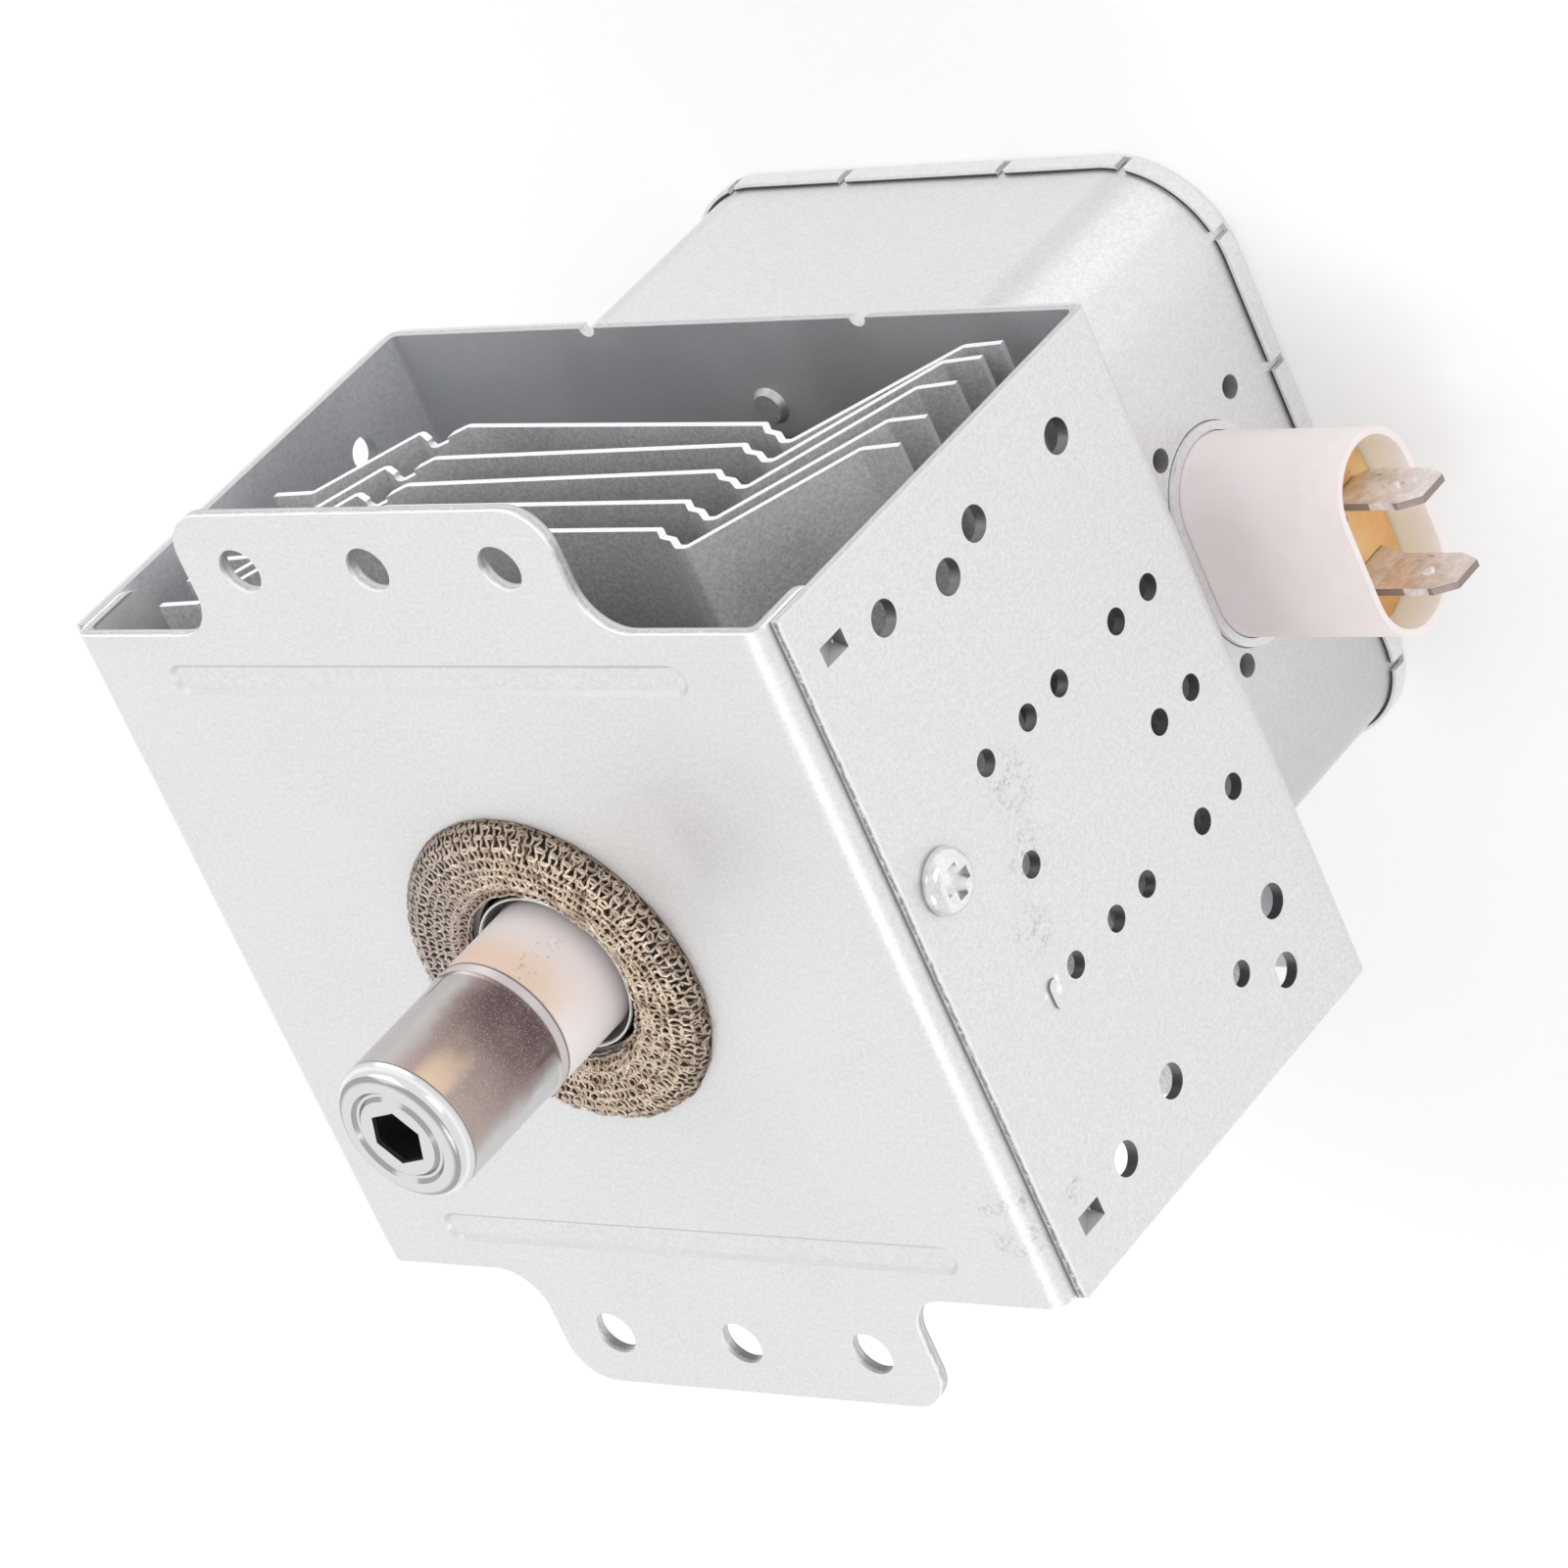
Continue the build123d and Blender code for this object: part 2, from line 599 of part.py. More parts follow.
# Exhaust tube: copper tube pinched shut at its end
tube_foot = top_seal_top - TUBE_LENGTH / 2
pinch_start = tube_foot + TUBE_LENGTH
pinch_end = pinch_start + PINCH_LENGTH
with BuildPart() as exhaust_tube:
    with BuildSketch(Plane.XY.offset(pinch_start)) as tube_round:
        Circle(TUBE_RADIUS)
    with BuildSketch(Plane.XY.offset(pinch_end)) as tube_flat:
        SlotOverall(PINCH_WIDTH, PINCH_THICKNESS)
    loft()
    with BuildSketch(Plane.XY.offset(tube_foot)) as tube_section:
        Circle(TUBE_RADIUS)
        Circle(TUBE_RADIUS - TUBE_WALL, mode=Mode.SUBTRACT)
    extrude(amount=TUBE_LENGTH)
exhaust_tube.part.label = "exhaust_tube"
export_step(exhaust_tube.part, "parts/exhaust_tube.step")

# Antenna lead: rod from one vane to the pinched end of the exhaust tube
with BuildPart() as antenna_lead:
    with BuildLine(Plane.XZ) as antenna_lead_path:
        FilletPolyline(
            (ANTENNA_LEAD_X, vane_front),
            (ANTENNA_LEAD_X, magnet_front - MAGNET_THICKNESS / 2),
            (0, NECK_TOP),
            (0, pinch_start),
            radius=2 * ANTENNA_LEAD_RADIUS,
        )
    with BuildSketch(Plane.XY.offset(vane_front)) as antenna_lead_section:
        with Locations((ANTENNA_LEAD_X, 0)):
            Circle(ANTENNA_LEAD_RADIUS)
    sweep()
antenna_lead.part.label = "antenna_lead"
export_step(antenna_lead.part, "parts/antenna_lead.step")

# Antenna cap: drawn sleeve with a rounded nose, a ring groove and a hexagonal hole
cap_top = ceramic_top + CAP_LENGTH
ledge = cap_top - CAP_NOSE
nose_radius = CAP_RADIUS - CAP_STEP
groove_rim = nose_radius - CAP_GROOVE_INSET
groove_middle = groove_rim - CAP_GROOVE_WIDTH / 2


def cap_section(inset):
    """Half of the cap's section, drawn in by an inset for the inside of its wall."""
    with BuildSketch(Plane.XZ) as section:
        with BuildLine():
            Polyline(
                (0, ceramic_top),
                (CAP_RADIUS + CAP_LIP - inset, ceramic_top),
                (CAP_RADIUS + CAP_LIP - inset, ceramic_top + CAP_LIP_LENGTH - inset / 2),
                (CAP_RADIUS - inset, ceramic_top + CAP_LIP_LENGTH + CAP_LIP - inset / 2),
                (CAP_RADIUS - inset, ledge - inset),
                (nose_radius - inset, ledge + CAP_STEP - inset),
                (nose_radius - inset, cap_top - inset),
                (0, cap_top - inset),
                close=True,
            )
        make_face()
        nose = section.vertices().group_by(Axis.Y)[-1].sort_by(Axis.X)[-1]
        fillet(nose, CAP_ROUND - inset)
    return section.sketch


with BuildPart() as antenna_cap:
    revolve(cap_section(0), axis=Axis.Z)
    revolve(cap_section(CAP_WALL), axis=Axis.Z, mode=Mode.SUBTRACT)
    with BuildSketch(Plane.XZ) as cap_groove:
        with BuildLine() as groove_outline:
            Polyline(
                (groove_rim, cap_top),
                (groove_middle + CAP_GROOVE_FLOOR / 2, cap_top - CAP_GROOVE_DEPTH),
                (groove_middle - CAP_GROOVE_FLOOR / 2, cap_top - CAP_GROOVE_DEPTH),
                (groove_rim - CAP_GROOVE_WIDTH, cap_top),
                close=True,
            )
        make_face()
    revolve(axis=Axis.Z, mode=Mode.SUBTRACT)
    with BuildSketch(Plane.XY.offset(cap_top)) as cap_socket:
        RegularPolygon(CAP_SOCKET / 2, 6, major_radius=False, rotation=CAP_SOCKET_TURN)
    extrude(amount=-CAP_NOSE, mode=Mode.SUBTRACT)
antenna_cap.part.label = "antenna_cap"
export_step(antenna_cap.part, "parts/antenna_cap.step")

# Gasket: knitted wire ring with a domed outer edge
gasket_bore = NECK_RADIUS + GASKET_CLEARANCE
gasket_rim = gasket_bore + GASKET_WIDTH
with BuildPart() as gasket:
    with BuildSketch(Plane.XZ) as gasket_section:
        with BuildLine() as gasket_outline:
            SagittaArc(
                (gasket_rim, 0),
                (gasket_rim - GASKET_OUTER_SLOPE, GASKET_HEIGHT),
                GASKET_BULGE,
            )
            Polyline(
                (gasket_rim - GASKET_OUTER_SLOPE, GASKET_HEIGHT),
                (gasket_bore + GASKET_INNER_SLOPE, GASKET_HEIGHT),
                (gasket_bore, GASKET_HEIGHT * GASKET_EDGE),
                (gasket_bore, 0),
                (gasket_rim, 0),
            )
        make_face()
    revolve(axis=Axis.Z)
gasket.part.label = "gasket"
export_step(gasket.part, "parts/gasket.step")

# Cooling fins: folded aluminium sheets, each with a drawn collar round the anode
fin_length = YOKE_HEIGHT - 2 * FIN_EDGE_GAP
collar_rim = ANODE_RADIUS + FIN_FIT + FIN_SHEET
duct = wall_x - SHEET - MAGNET_RADIUS
fin_bends = [(-MAGNET_RADIUS - duct * share, rise) for share, rise in FIN_LEFT_WING]
fin_bends += [(-collar_rim - away, rise) for away, rise in FIN_LEFT_ROOT]
fin_bends += [(collar_rim + away, rise) for away, rise in FIN_RIGHT_ROOT]
fin_bends += [(MAGNET_RADIUS + duct * share, rise) for share, rise in FIN_RIGHT_WING]
for number, lean in enumerate(FIN_LEANS, 1):
    with BuildPart() as fin:
        with BuildSketch(Plane.XZ) as fin_section:
            with BuildLine() as fin_fold:
                FilletPolyline(*fin_bends, radius=FIN_BEND)
            trace(line_width=FIN_SHEET)
        extrude(amount=fin_length / 2, both=True)
        with BuildSketch(Plane.XY.offset(FIN_SHEET / 2)) as fin_collar:
            Circle(collar_rim)
        extrude(amount=-FIN_SHEET / 2 - COLLAR_LENGTH)
        with BuildSketch(Plane.XY.offset(FIN_SHEET / 2)) as fin_bore:
            Circle(ANODE_RADIUS + FIN_FIT)
        extrude(amount=-FIN_SHEET / 2 - COLLAR_LENGTH, mode=Mode.SUBTRACT)
        with BuildSketch(Plane.XZ.offset(-fin_length / 2)) as edge_notch:
            with Locations(fin_bends[3]):
                Rectangle(FIN_NOTCH_WIDTH, FIN_PITCH)
        extrude(amount=FIN_NOTCH, mode=Mode.SUBTRACT)
    fin_level = anode_middle + FIN_SHIFT + (number - 3) * FIN_PITCH
    placed_fin = Pos(0, 0, fin_level) * Rot(Y=lean) * fin.part
    placed_fin.label = f"fin_{number}"
    export_step(placed_fin, f"parts/fin_{number}.step")

# Stem seal: flanged shell between the rear magnet and its pole piece
with BuildPart() as stem_seal:
    with BuildSketch(Plane.XZ) as stem_seal_section:
        with BuildLine() as stem_seal_line:
            Polyline(
                (ANODE_RADIUS, pole_back - SEAL_WALL / 2),
                (seal_line, pole_back - SEAL_WALL / 2),
                (seal_line, stem_front + SEAL_WALL / 2),
                (NECK_LIP, stem_front + SEAL_WALL / 2),
            )
        trace(line_width=SEAL_WALL)
    revolve(axis=Axis.Z)
stem_seal.part.label = "stem_seal"
export_step(stem_seal.part, "parts/stem_seal.step")

# Stem ceramic: carries both leads out of the vacuum
with BuildPart() as stem_ceramic:
    with BuildSketch(Plane.XY.offset(stem_front)) as stem_section:
        Circle(STEM_RADIUS)
        with Locations((0, 0), (0, SIDE_LEAD_Y)):
            Circle(LEAD_RADIUS + FIT, mode=Mode.SUBTRACT)
    extrude(amount=-STEM_LENGTH)
stem_ceramic.part.label = "stem_ceramic"
export_step(stem_ceramic.part, "parts/stem_ceramic.step")

# Stem terminals: two plates under the ceramic, parted by a narrow gap
gap_line = SIDE_LEAD_Y / 2
for number, side in ((1, 1), (2, -1)):
    with BuildPart() as stem_terminal:
        with BuildSketch(Plane.XY.offset(stem_back)) as terminal_outline:
            Circle(TERMINAL_PLATE_RADIUS)
            with Locations((0, gap_line - side * (TERMINAL_PLATE_RADIUS - TERMINAL_GAP / 2))):
                Rectangle(
                    2 * TERMINAL_PLATE_RADIUS, 2 * TERMINAL_PLATE_RADIUS, mode=Mode.SUBTRACT
                )
            with Locations((0, 0), (0, SIDE_LEAD_Y)):
                Circle(LEAD_RADIUS + FIT, mode=Mode.SUBTRACT)
        extrude(amount=-TERMINAL_PLATE)
    stem_terminal.part.label = f"stem_terminal_{number}"
    export_step(stem_terminal.part, f"parts/stem_terminal_{number}.step")

# Filter case: drawn box, open towards the lid
feed_opening = FEED_RADIUS + 2 * FIT + COLLAR_WALL
feed_straight = FEED_LENGTH - 2 * FEED_RADIUS
with BuildPart() as filter_case:
    with BuildSketch(Plane.XY.offset(case_front)) as case_outline:
        RectangleRounded(2 * case_x, 2 * case_x, CASE_CORNER)
    extrude(amount=-CASE_DEPTH)
    fillet(filter_case.edges().group_by(Axis.Z)[-1], CASE_DRAW)
    offset(amount=-CASE_WALL, openings=filter_case.faces().sort_by(Axis.Z)[0])
    with BuildSketch(Plane.XY.offset(case_front)) as case_front_holes:
        Circle(NECK_RADIUS + 3 * SLIP)
        with PolarLocations(rivet_reach, 4, start_angle=RIVET_TURN):
            Circle(RIVET_RADIUS + FIT)
    extrude(amount=-CASE_WALL, mode=Mode.SUBTRACT)
    with BuildSketch(Plane.YZ.offset(case_x)) as case_wall_holes:
        with Locations((0, FEED_Z)):
            SlotCenterToCenter(feed_straight, 2 * feed_opening)
        with Locations((0, EARTH_PLATE_Z)):
            with GridLocations(2 * EARTH_HOLE_Y, 2 * EARTH_HOLE_Z, 2, 2):
                Circle(EARTH_HOLE_RADIUS)
    extrude(amount=-CASE_WALL, mode=Mode.SUBTRACT)
filter_case.part.label = "filter_case"
export_step(filter_case.part, "parts/filter_case.step")

# Rivets between the yoke's back plate and the filter case
with BuildPart() as case_rivets:
    for level, way in ((case_front + SHEET, 1), (case_front - CASE_WALL, -1)):
        with BuildSketch(Plane.XY.offset(level)) as rivet_heads:
            with PolarLocations(rivet_reach, 4, start_angle=RIVET_TURN):
                Circle(RIVET_HEAD_RADIUS)
        extrude(amount=way * RIVET_HEAD_HEIGHT, taper=RIVET_TAPER)
    with BuildSketch(Plane.XY.offset(case_front + SHEET)) as rivet_shanks:
        with PolarLocations(rivet_reach, 4, start_angle=RIVET_TURN):
            Circle(RIVET_RADIUS)
    extrude(amount=-SHEET - CASE_WALL)
case_rivets.part.label = "case_rivets"
export_step(case_rivets.part, "parts/case_rivets.step")

# Filter lid: flat sheet whose folded rim is slit into tabs
rim_x = case_x + SEAM + LID_SHEET
with BuildPart() as filter_lid:
    with BuildSketch(Plane.XY.offset(lid_back)) as lid_outline:
        RectangleRounded(2 * rim_x, 2 * rim_x, CASE_CORNER + SEAM + LID_SHEET)
    extrude(amount=LID_SHEET + LID_RIM)
    fillet(filter_lid.edges().group_by(Axis.Z)[0], LID_BEND)
    with BuildSketch(Plane.XY.offset(case_back)) as lid_inside:
        RectangleRounded(2 * (case_x + SEAM), 2 * (case_x + SEAM), CASE_CORNER + SEAM)
    extrude(amount=LID_RIM, mode=Mode.SUBTRACT)
    with BuildSketch(Plane.XY.offset(case_back)) as slits:
        with Locations(*[(x, 0) for at in (SLIT_MIDDLE, SLIT_OUTER) for x in (at, -at)]):
            Rectangle(SLIT_WIDTH, 2 * rim_x)
        with Locations(*[(0, y) for at in (SLIT_MIDDLE, SLIT_OUTER) for y in (at, -at)]):
            Rectangle(2 * rim_x, SLIT_WIDTH)
    extrude(amount=LID_RIM, mode=Mode.SUBTRACT)
filter_lid.part.label = "filter_lid"
export_step(filter_lid.part, "parts/filter_lid.step")

# Capacitor plate: earthing sheet inside the wall, with a collar through the wall
plate_x = case_x - CASE_WALL
feed_reach = case_x + FEED_PROJECTION
blade_tip_x = feed_reach + BLADE_PROJECTION
fill_x = feed_reach - FILL_LEVEL
root_x = fill_x - BLADE_ROOT
element_radius = FEED_RADIUS - FEED_WALL - ELEMENT_MARGIN
element_length = root_x - plate_x - ELEMENT_END_GAP
with BuildPart() as capacitor_plate:
    with BuildSketch(Plane.YZ.offset(plate_x)) as earth_outline:
        with Locations((0, EARTH_PLATE_Z)):
            Rectangle(EARTH_PLATE_LENGTH, EARTH_PLATE_WIDTH)
    extrude(amount=-EARTH_PLATE)
    with BuildSketch(Plane.YZ.offset(plate_x)) as earth_collar:
        with Locations((0, FEED_Z)):
            SlotCenterToCenter(feed_straight, 2 * (FEED_RADIUS + FIT + COLLAR_WALL))
            SlotCenterToCenter(feed_straight, 2 * (FEED_RADIUS + FIT), mode=Mode.SUBTRACT)
    extrude(amount=CASE_WALL + COLLAR_HEIGHT)
    with BuildSketch(Plane.YZ.offset(plate_x)) as earth_holes:
        with Locations((0, EARTH_PLATE_Z)):
            with GridLocations(2 * EARTH_HOLE_Y, 2 * EARTH_HOLE_Z, 2, 2):
                Circle(EARTH_HOLE_RADIUS)
        with Locations((0, FEED_Z)):
            SlotCenterToCenter(feed_straight, element_radius)
    extrude(amount=-EARTH_PLATE, mode=Mode.SUBTRACT)
capacitor_plate.part.label = "capacitor_plate"
export_step(capacitor_plate.part, "parts/capacitor_plate.step")

# Capacitor housings: oval sleeves on both sides of the earthing sheet
with BuildPart() as capacitor_housing:
    with BuildSketch(Plane.YZ.offset(plate_x)) as housing_section:
        with Locations((0, FEED_Z)):
            SlotCenterToCenter(feed_straight, 2 * FEED_RADIUS)
            SlotCenterToCenter(feed_straight, 2 * (FEED_RADIUS - FEED_WALL), mode=Mode.SUBTRACT)
    extrude(amount=feed_reach - plate_x)
capacitor_housing.part.label = "capacitor_housing"
export_step(capacitor_housing.part, "parts/capacitor_housing.step")

inner_face = plate_x - EARTH_PLATE
with BuildPart() as capacitor_inner_housing:
    with BuildSketch(Plane.YZ.offset(inner_face)) as inner_housing_section:
        with Locations((0, FEED_Z)):
            SlotCenterToCenter(feed_straight, 2 * FEED_RADIUS)
            SlotCenterToCenter(feed_straight, 2 * (FEED_RADIUS - FEED_WALL), mode=Mode.SUBTRACT)
    extrude(amount=-FEED_INNER_LENGTH)
capacitor_inner_housing.part.label = "capacitor_inner_housing"
export_step(capacitor_inner_housing.part, "parts/capacitor_inner_housing.step")

# Terminals: stepped blades in line with the rods that run back into the case
rod_end = inner_face - FEED_INNER_LENGTH - ROD_TAIL
rod_y = BLADE_PITCH / 2 - BLADE_JOG
for name, side in (("terminal_upper", 1), ("terminal_lower", -1)):
    with BuildPart() as terminal:
        with BuildSketch(Plane.XY.offset(FEED_Z)) as blade_section:
            with BuildLine() as blade_line:
                FilletPolyline(
                    (blade_tip_x, side * BLADE_PITCH / 2),
                    (fill_x + BLADE_JOG_LENGTH, side * BLADE_PITCH / 2),
                    (fill_x, side * rod_y),
                    (root_x, side * rod_y),
                    radius=BLADE_THICKNESS / 2,
                )
            trace(line_width=BLADE_THICKNESS)
        extrude(amount=BLADE_WIDTH / 2, both=True)
        blade_corners = terminal.edges().filter_by(Axis.Y).group_by(Axis.X)[-1]
        chamfer(blade_corners, BLADE_CHAMFER, BLADE_CHAMFER_SIDE)
        with BuildSketch(Plane.XZ) as blade_hole:
            with Locations((blade_tip_x - BLADE_HOLE_BACK, FEED_Z)):
                Circle(BLADE_HOLE_RADIUS)
        extrude(amount=BLADE_PITCH, both=True, mode=Mode.SUBTRACT)
        with BuildSketch(Plane.YZ.offset(root_x)) as rod_section:
            with Locations((side * rod_y, FEED_Z)):
                Circle(ROD_RADIUS)
        extrude(amount=rod_end - root_x)
    terminal.part.label = name
    export_step(terminal.part, f"parts/{name}.step")

# Capacitor element: ceramic body with a bore for each rod
with BuildPart() as capacitor_element:
    with BuildSketch(Plane.YZ.offset(plate_x)) as element_section:
        with Locations((0, FEED_Z)):
            SlotCenterToCenter(feed_straight, 2 * element_radius)
        with Locations((rod_y, FEED_Z), (-rod_y, FEED_Z)):
            Circle(ROD_RADIUS + FIT, mode=Mode.SUBTRACT)
    extrude(amount=element_length)
capacitor_element.part.label = "capacitor_element"
export_step(capacitor_element.part, "parts/capacitor_element.step")

# Resin that fills both housings round the element, the rods and the blades
with BuildPart() as capacitor_fill:
    with BuildSketch(Plane.YZ.offset(plate_x)) as fill_section:
        with Locations((0, FEED_Z)):
            SlotCenterToCenter(feed_straight, 2 * (FEED_RADIUS - FEED_WALL - FIT))
    extrude(amount=fill_x - plate_x)
    with BuildSketch(Plane.YZ.offset(plate_x)) as element_pocket:
        with Locations((0, FEED_Z)):
            SlotCenterToCenter(feed_straight, 2 * (element_radius + FIT))
    extrude(amount=element_length, mode=Mode.SUBTRACT)
    with BuildSketch(Plane.YZ.offset(root_x)) as blade_pockets:
        with Locations((rod_y, FEED_Z), (-rod_y, FEED_Z)):
            Rectangle(BLADE_THICKNESS + 2 * FIT, BLADE_WIDTH)
    extrude(amount=BLADE_ROOT, mode=Mode.SUBTRACT)
    with BuildSketch(Plane.YZ.offset(plate_x)) as rod_bores:
        with Locations((rod_y, FEED_Z), (-rod_y, FEED_Z)):
            Circle(ROD_RADIUS + FIT)
    extrude(amount=root_x - plate_x, mode=Mode.SUBTRACT)
capacitor_fill.part.label = "capacitor_fill"
export_step(capacitor_fill.part, "parts/capacitor_fill.step")

with BuildPart() as capacitor_inner_fill:
    with BuildSketch(Plane.YZ.offset(inner_face)) as inner_fill_section:
        with Locations((0, FEED_Z)):
            SlotCenterToCenter(feed_straight, 2 * (FEED_RADIUS - FEED_WALL - FIT))
        with Locations((rod_y, FEED_Z), (-rod_y, FEED_Z)):
            Circle(ROD_RADIUS + FIT, mode=Mode.SUBTRACT)
    extrude(amount=-FEED_INNER_LENGTH + FILL_LEVEL / 3)
capacitor_inner_fill.part.label = "capacitor_inner_fill"
export_step(capacitor_inner_fill.part, "parts/capacitor_inner_fill.step")

# Filter chokes: close windings on rod cores, with leads to the stem and the capacitor
choke_inner = CORE_RADIUS + FIT
valley = choke_inner + CHOKE_WIRE
turn_pitch = CHOKE_LENGTH / CHOKE_TURNS
first_turn_x = CHOKE_START + turn_pitch / 2
feed_lead_y = CHOKE_Y - valley - CHOKE_WIRE / 4
choke_end = CHOKE_START + CHOKE_LENGTH
stem_lead_z = stem_back - TERMINAL_PLATE - CHOKE_WIRE - FIT
for number, side in ((1, 1), (2, -1)):
    with BuildPart() as choke_core:
        with BuildSketch(Plane.YZ.offset(CHOKE_START - (CORE_LENGTH - CHOKE_LENGTH) / 2)) as core_end:
            with Locations((side * CHOKE_Y, EARTH_PLATE_Z)):
                Circle(CORE_RADIUS)
        extrude(amount=CORE_LENGTH)
    choke_core.part.label = f"choke_core_{number}"
    export_step(choke_core.part, f"parts/choke_core_{number}.step")

    with BuildPart() as choke_coil:
        with BuildSketch(Plane.XY.offset(EARTH_PLATE_Z)) as coil_section:
            with BuildLine() as coil_outline:
                crests = [
                    (CHOKE_START + step * turn_pitch / 2, side * (CHOKE_Y + valley + step % 2 * CHOKE_WIRE))
                    for step in range(2 * CHOKE_TURNS + 1)
                ]
                Polyline(
                    (CHOKE_START, side * (CHOKE_Y + choke_inner)),
                    *crests,
                    (choke_end, side * (CHOKE_Y + choke_inner)),
                    close=True,
                )
            make_face()
        revolve(axis=Axis((0, side * CHOKE_Y, EARTH_PLATE_Z), (1, 0, 0)))
        with BuildLine() as stem_lead:
            FilletPolyline(
                (first_turn_x, side * CHOKE_Y, EARTH_PLATE_Z + choke_inner + CHOKE_WIRE / 2),
                (first_turn_x, side * CHOKE_Y, stem_lead_z),
                (first_turn_x, side * TERMINAL_PLATE_RADIUS / 2, stem_lead_z),
                (-LEAD_RADIUS - 2 * CHOKE_WIRE, side * TERMINAL_PLATE_RADIUS / 2, stem_lead_z),
                radius=3 * CHOKE_WIRE / 2,
            )
        with BuildSketch(Plane(origin=stem_lead.line @ 0, z_dir=stem_lead.line % 0)) as wire_round:
            Circle(CHOKE_WIRE)
        sweep(path=stem_lead.line)
        with BuildLine() as feed_lead:
            FilletPolyline(
                (choke_end - CHOKE_WIRE, side * feed_lead_y, EARTH_PLATE_Z),
                (rod_end - CHOKE_WIRE, side * feed_lead_y, EARTH_PLATE_Z),
                (rod_end + ROD_TAIL / 2, side * (rod_y + ROD_RADIUS + CHOKE_WIRE + FIT), FEED_Z),
                radius=3 * CHOKE_WIRE / 2,
            )
        with BuildSketch(Plane(origin=feed_lead.line @ 0, z_dir=feed_lead.line % 0)) as feed_round:
            Circle(CHOKE_WIRE)
        sweep(path=feed_lead.line)
    choke_coil.part.label = f"choke_coil_{number}"
    export_step(choke_coil.part, f"parts/choke_coil_{number}.step")
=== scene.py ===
"""The looks of a microwave oven's magnetron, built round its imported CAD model.

The row frame holds everywhere: +Z runs out along the antenna, +Y from ear to ear, +X towards
the blade terminals. Sizes here are in millimetres and become metres through MM.
"""

from __future__ import annotations

import json
import logging
import math
import random
from dataclasses import dataclass
from enum import Enum
from typing import Union

import bpy
from mathutils import Matrix, Vector, noise

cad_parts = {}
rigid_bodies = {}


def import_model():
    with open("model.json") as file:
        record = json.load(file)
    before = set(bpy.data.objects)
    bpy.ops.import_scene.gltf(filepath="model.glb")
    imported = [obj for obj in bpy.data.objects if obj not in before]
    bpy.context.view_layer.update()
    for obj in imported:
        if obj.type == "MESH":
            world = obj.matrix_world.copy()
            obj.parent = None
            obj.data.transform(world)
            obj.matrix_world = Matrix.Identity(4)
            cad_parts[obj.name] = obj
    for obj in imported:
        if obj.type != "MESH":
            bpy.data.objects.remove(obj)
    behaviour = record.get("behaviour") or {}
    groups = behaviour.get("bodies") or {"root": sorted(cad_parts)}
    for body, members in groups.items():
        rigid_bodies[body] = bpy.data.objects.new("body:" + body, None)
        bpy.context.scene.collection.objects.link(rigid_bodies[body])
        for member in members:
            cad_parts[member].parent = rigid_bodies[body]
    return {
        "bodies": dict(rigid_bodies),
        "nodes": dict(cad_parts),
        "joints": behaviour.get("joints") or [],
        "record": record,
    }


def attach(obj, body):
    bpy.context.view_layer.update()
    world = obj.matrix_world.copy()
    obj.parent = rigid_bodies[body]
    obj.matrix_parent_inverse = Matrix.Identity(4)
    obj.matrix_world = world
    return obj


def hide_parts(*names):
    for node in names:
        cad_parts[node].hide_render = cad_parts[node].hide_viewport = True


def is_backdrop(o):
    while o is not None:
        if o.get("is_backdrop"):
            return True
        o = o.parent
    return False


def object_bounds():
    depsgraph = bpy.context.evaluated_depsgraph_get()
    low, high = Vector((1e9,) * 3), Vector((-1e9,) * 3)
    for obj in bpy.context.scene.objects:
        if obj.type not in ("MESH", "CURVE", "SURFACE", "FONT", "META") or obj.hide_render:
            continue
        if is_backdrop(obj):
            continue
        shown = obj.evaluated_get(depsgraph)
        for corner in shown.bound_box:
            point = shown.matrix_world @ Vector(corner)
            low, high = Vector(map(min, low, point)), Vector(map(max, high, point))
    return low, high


LOG = logging.getLogger("magnetron")
MM = 0.001
FLOAT_SOCKET = "NodeSocketFloat"
Colour = tuple[float, float, float, float]
Tree = bpy.types.NodeTree
Socket = bpy.types.NodeSocket
Sockets = bpy.types.bpy_prop_collection
Value = Union[Socket, float]


def grey(level: float, warmth: float = 0.0) -> Colour:
    """Make a linear grey; its red gains the warmth and its blue loses it."""
    return (level + warmth, level, level - warmth, 1.0)


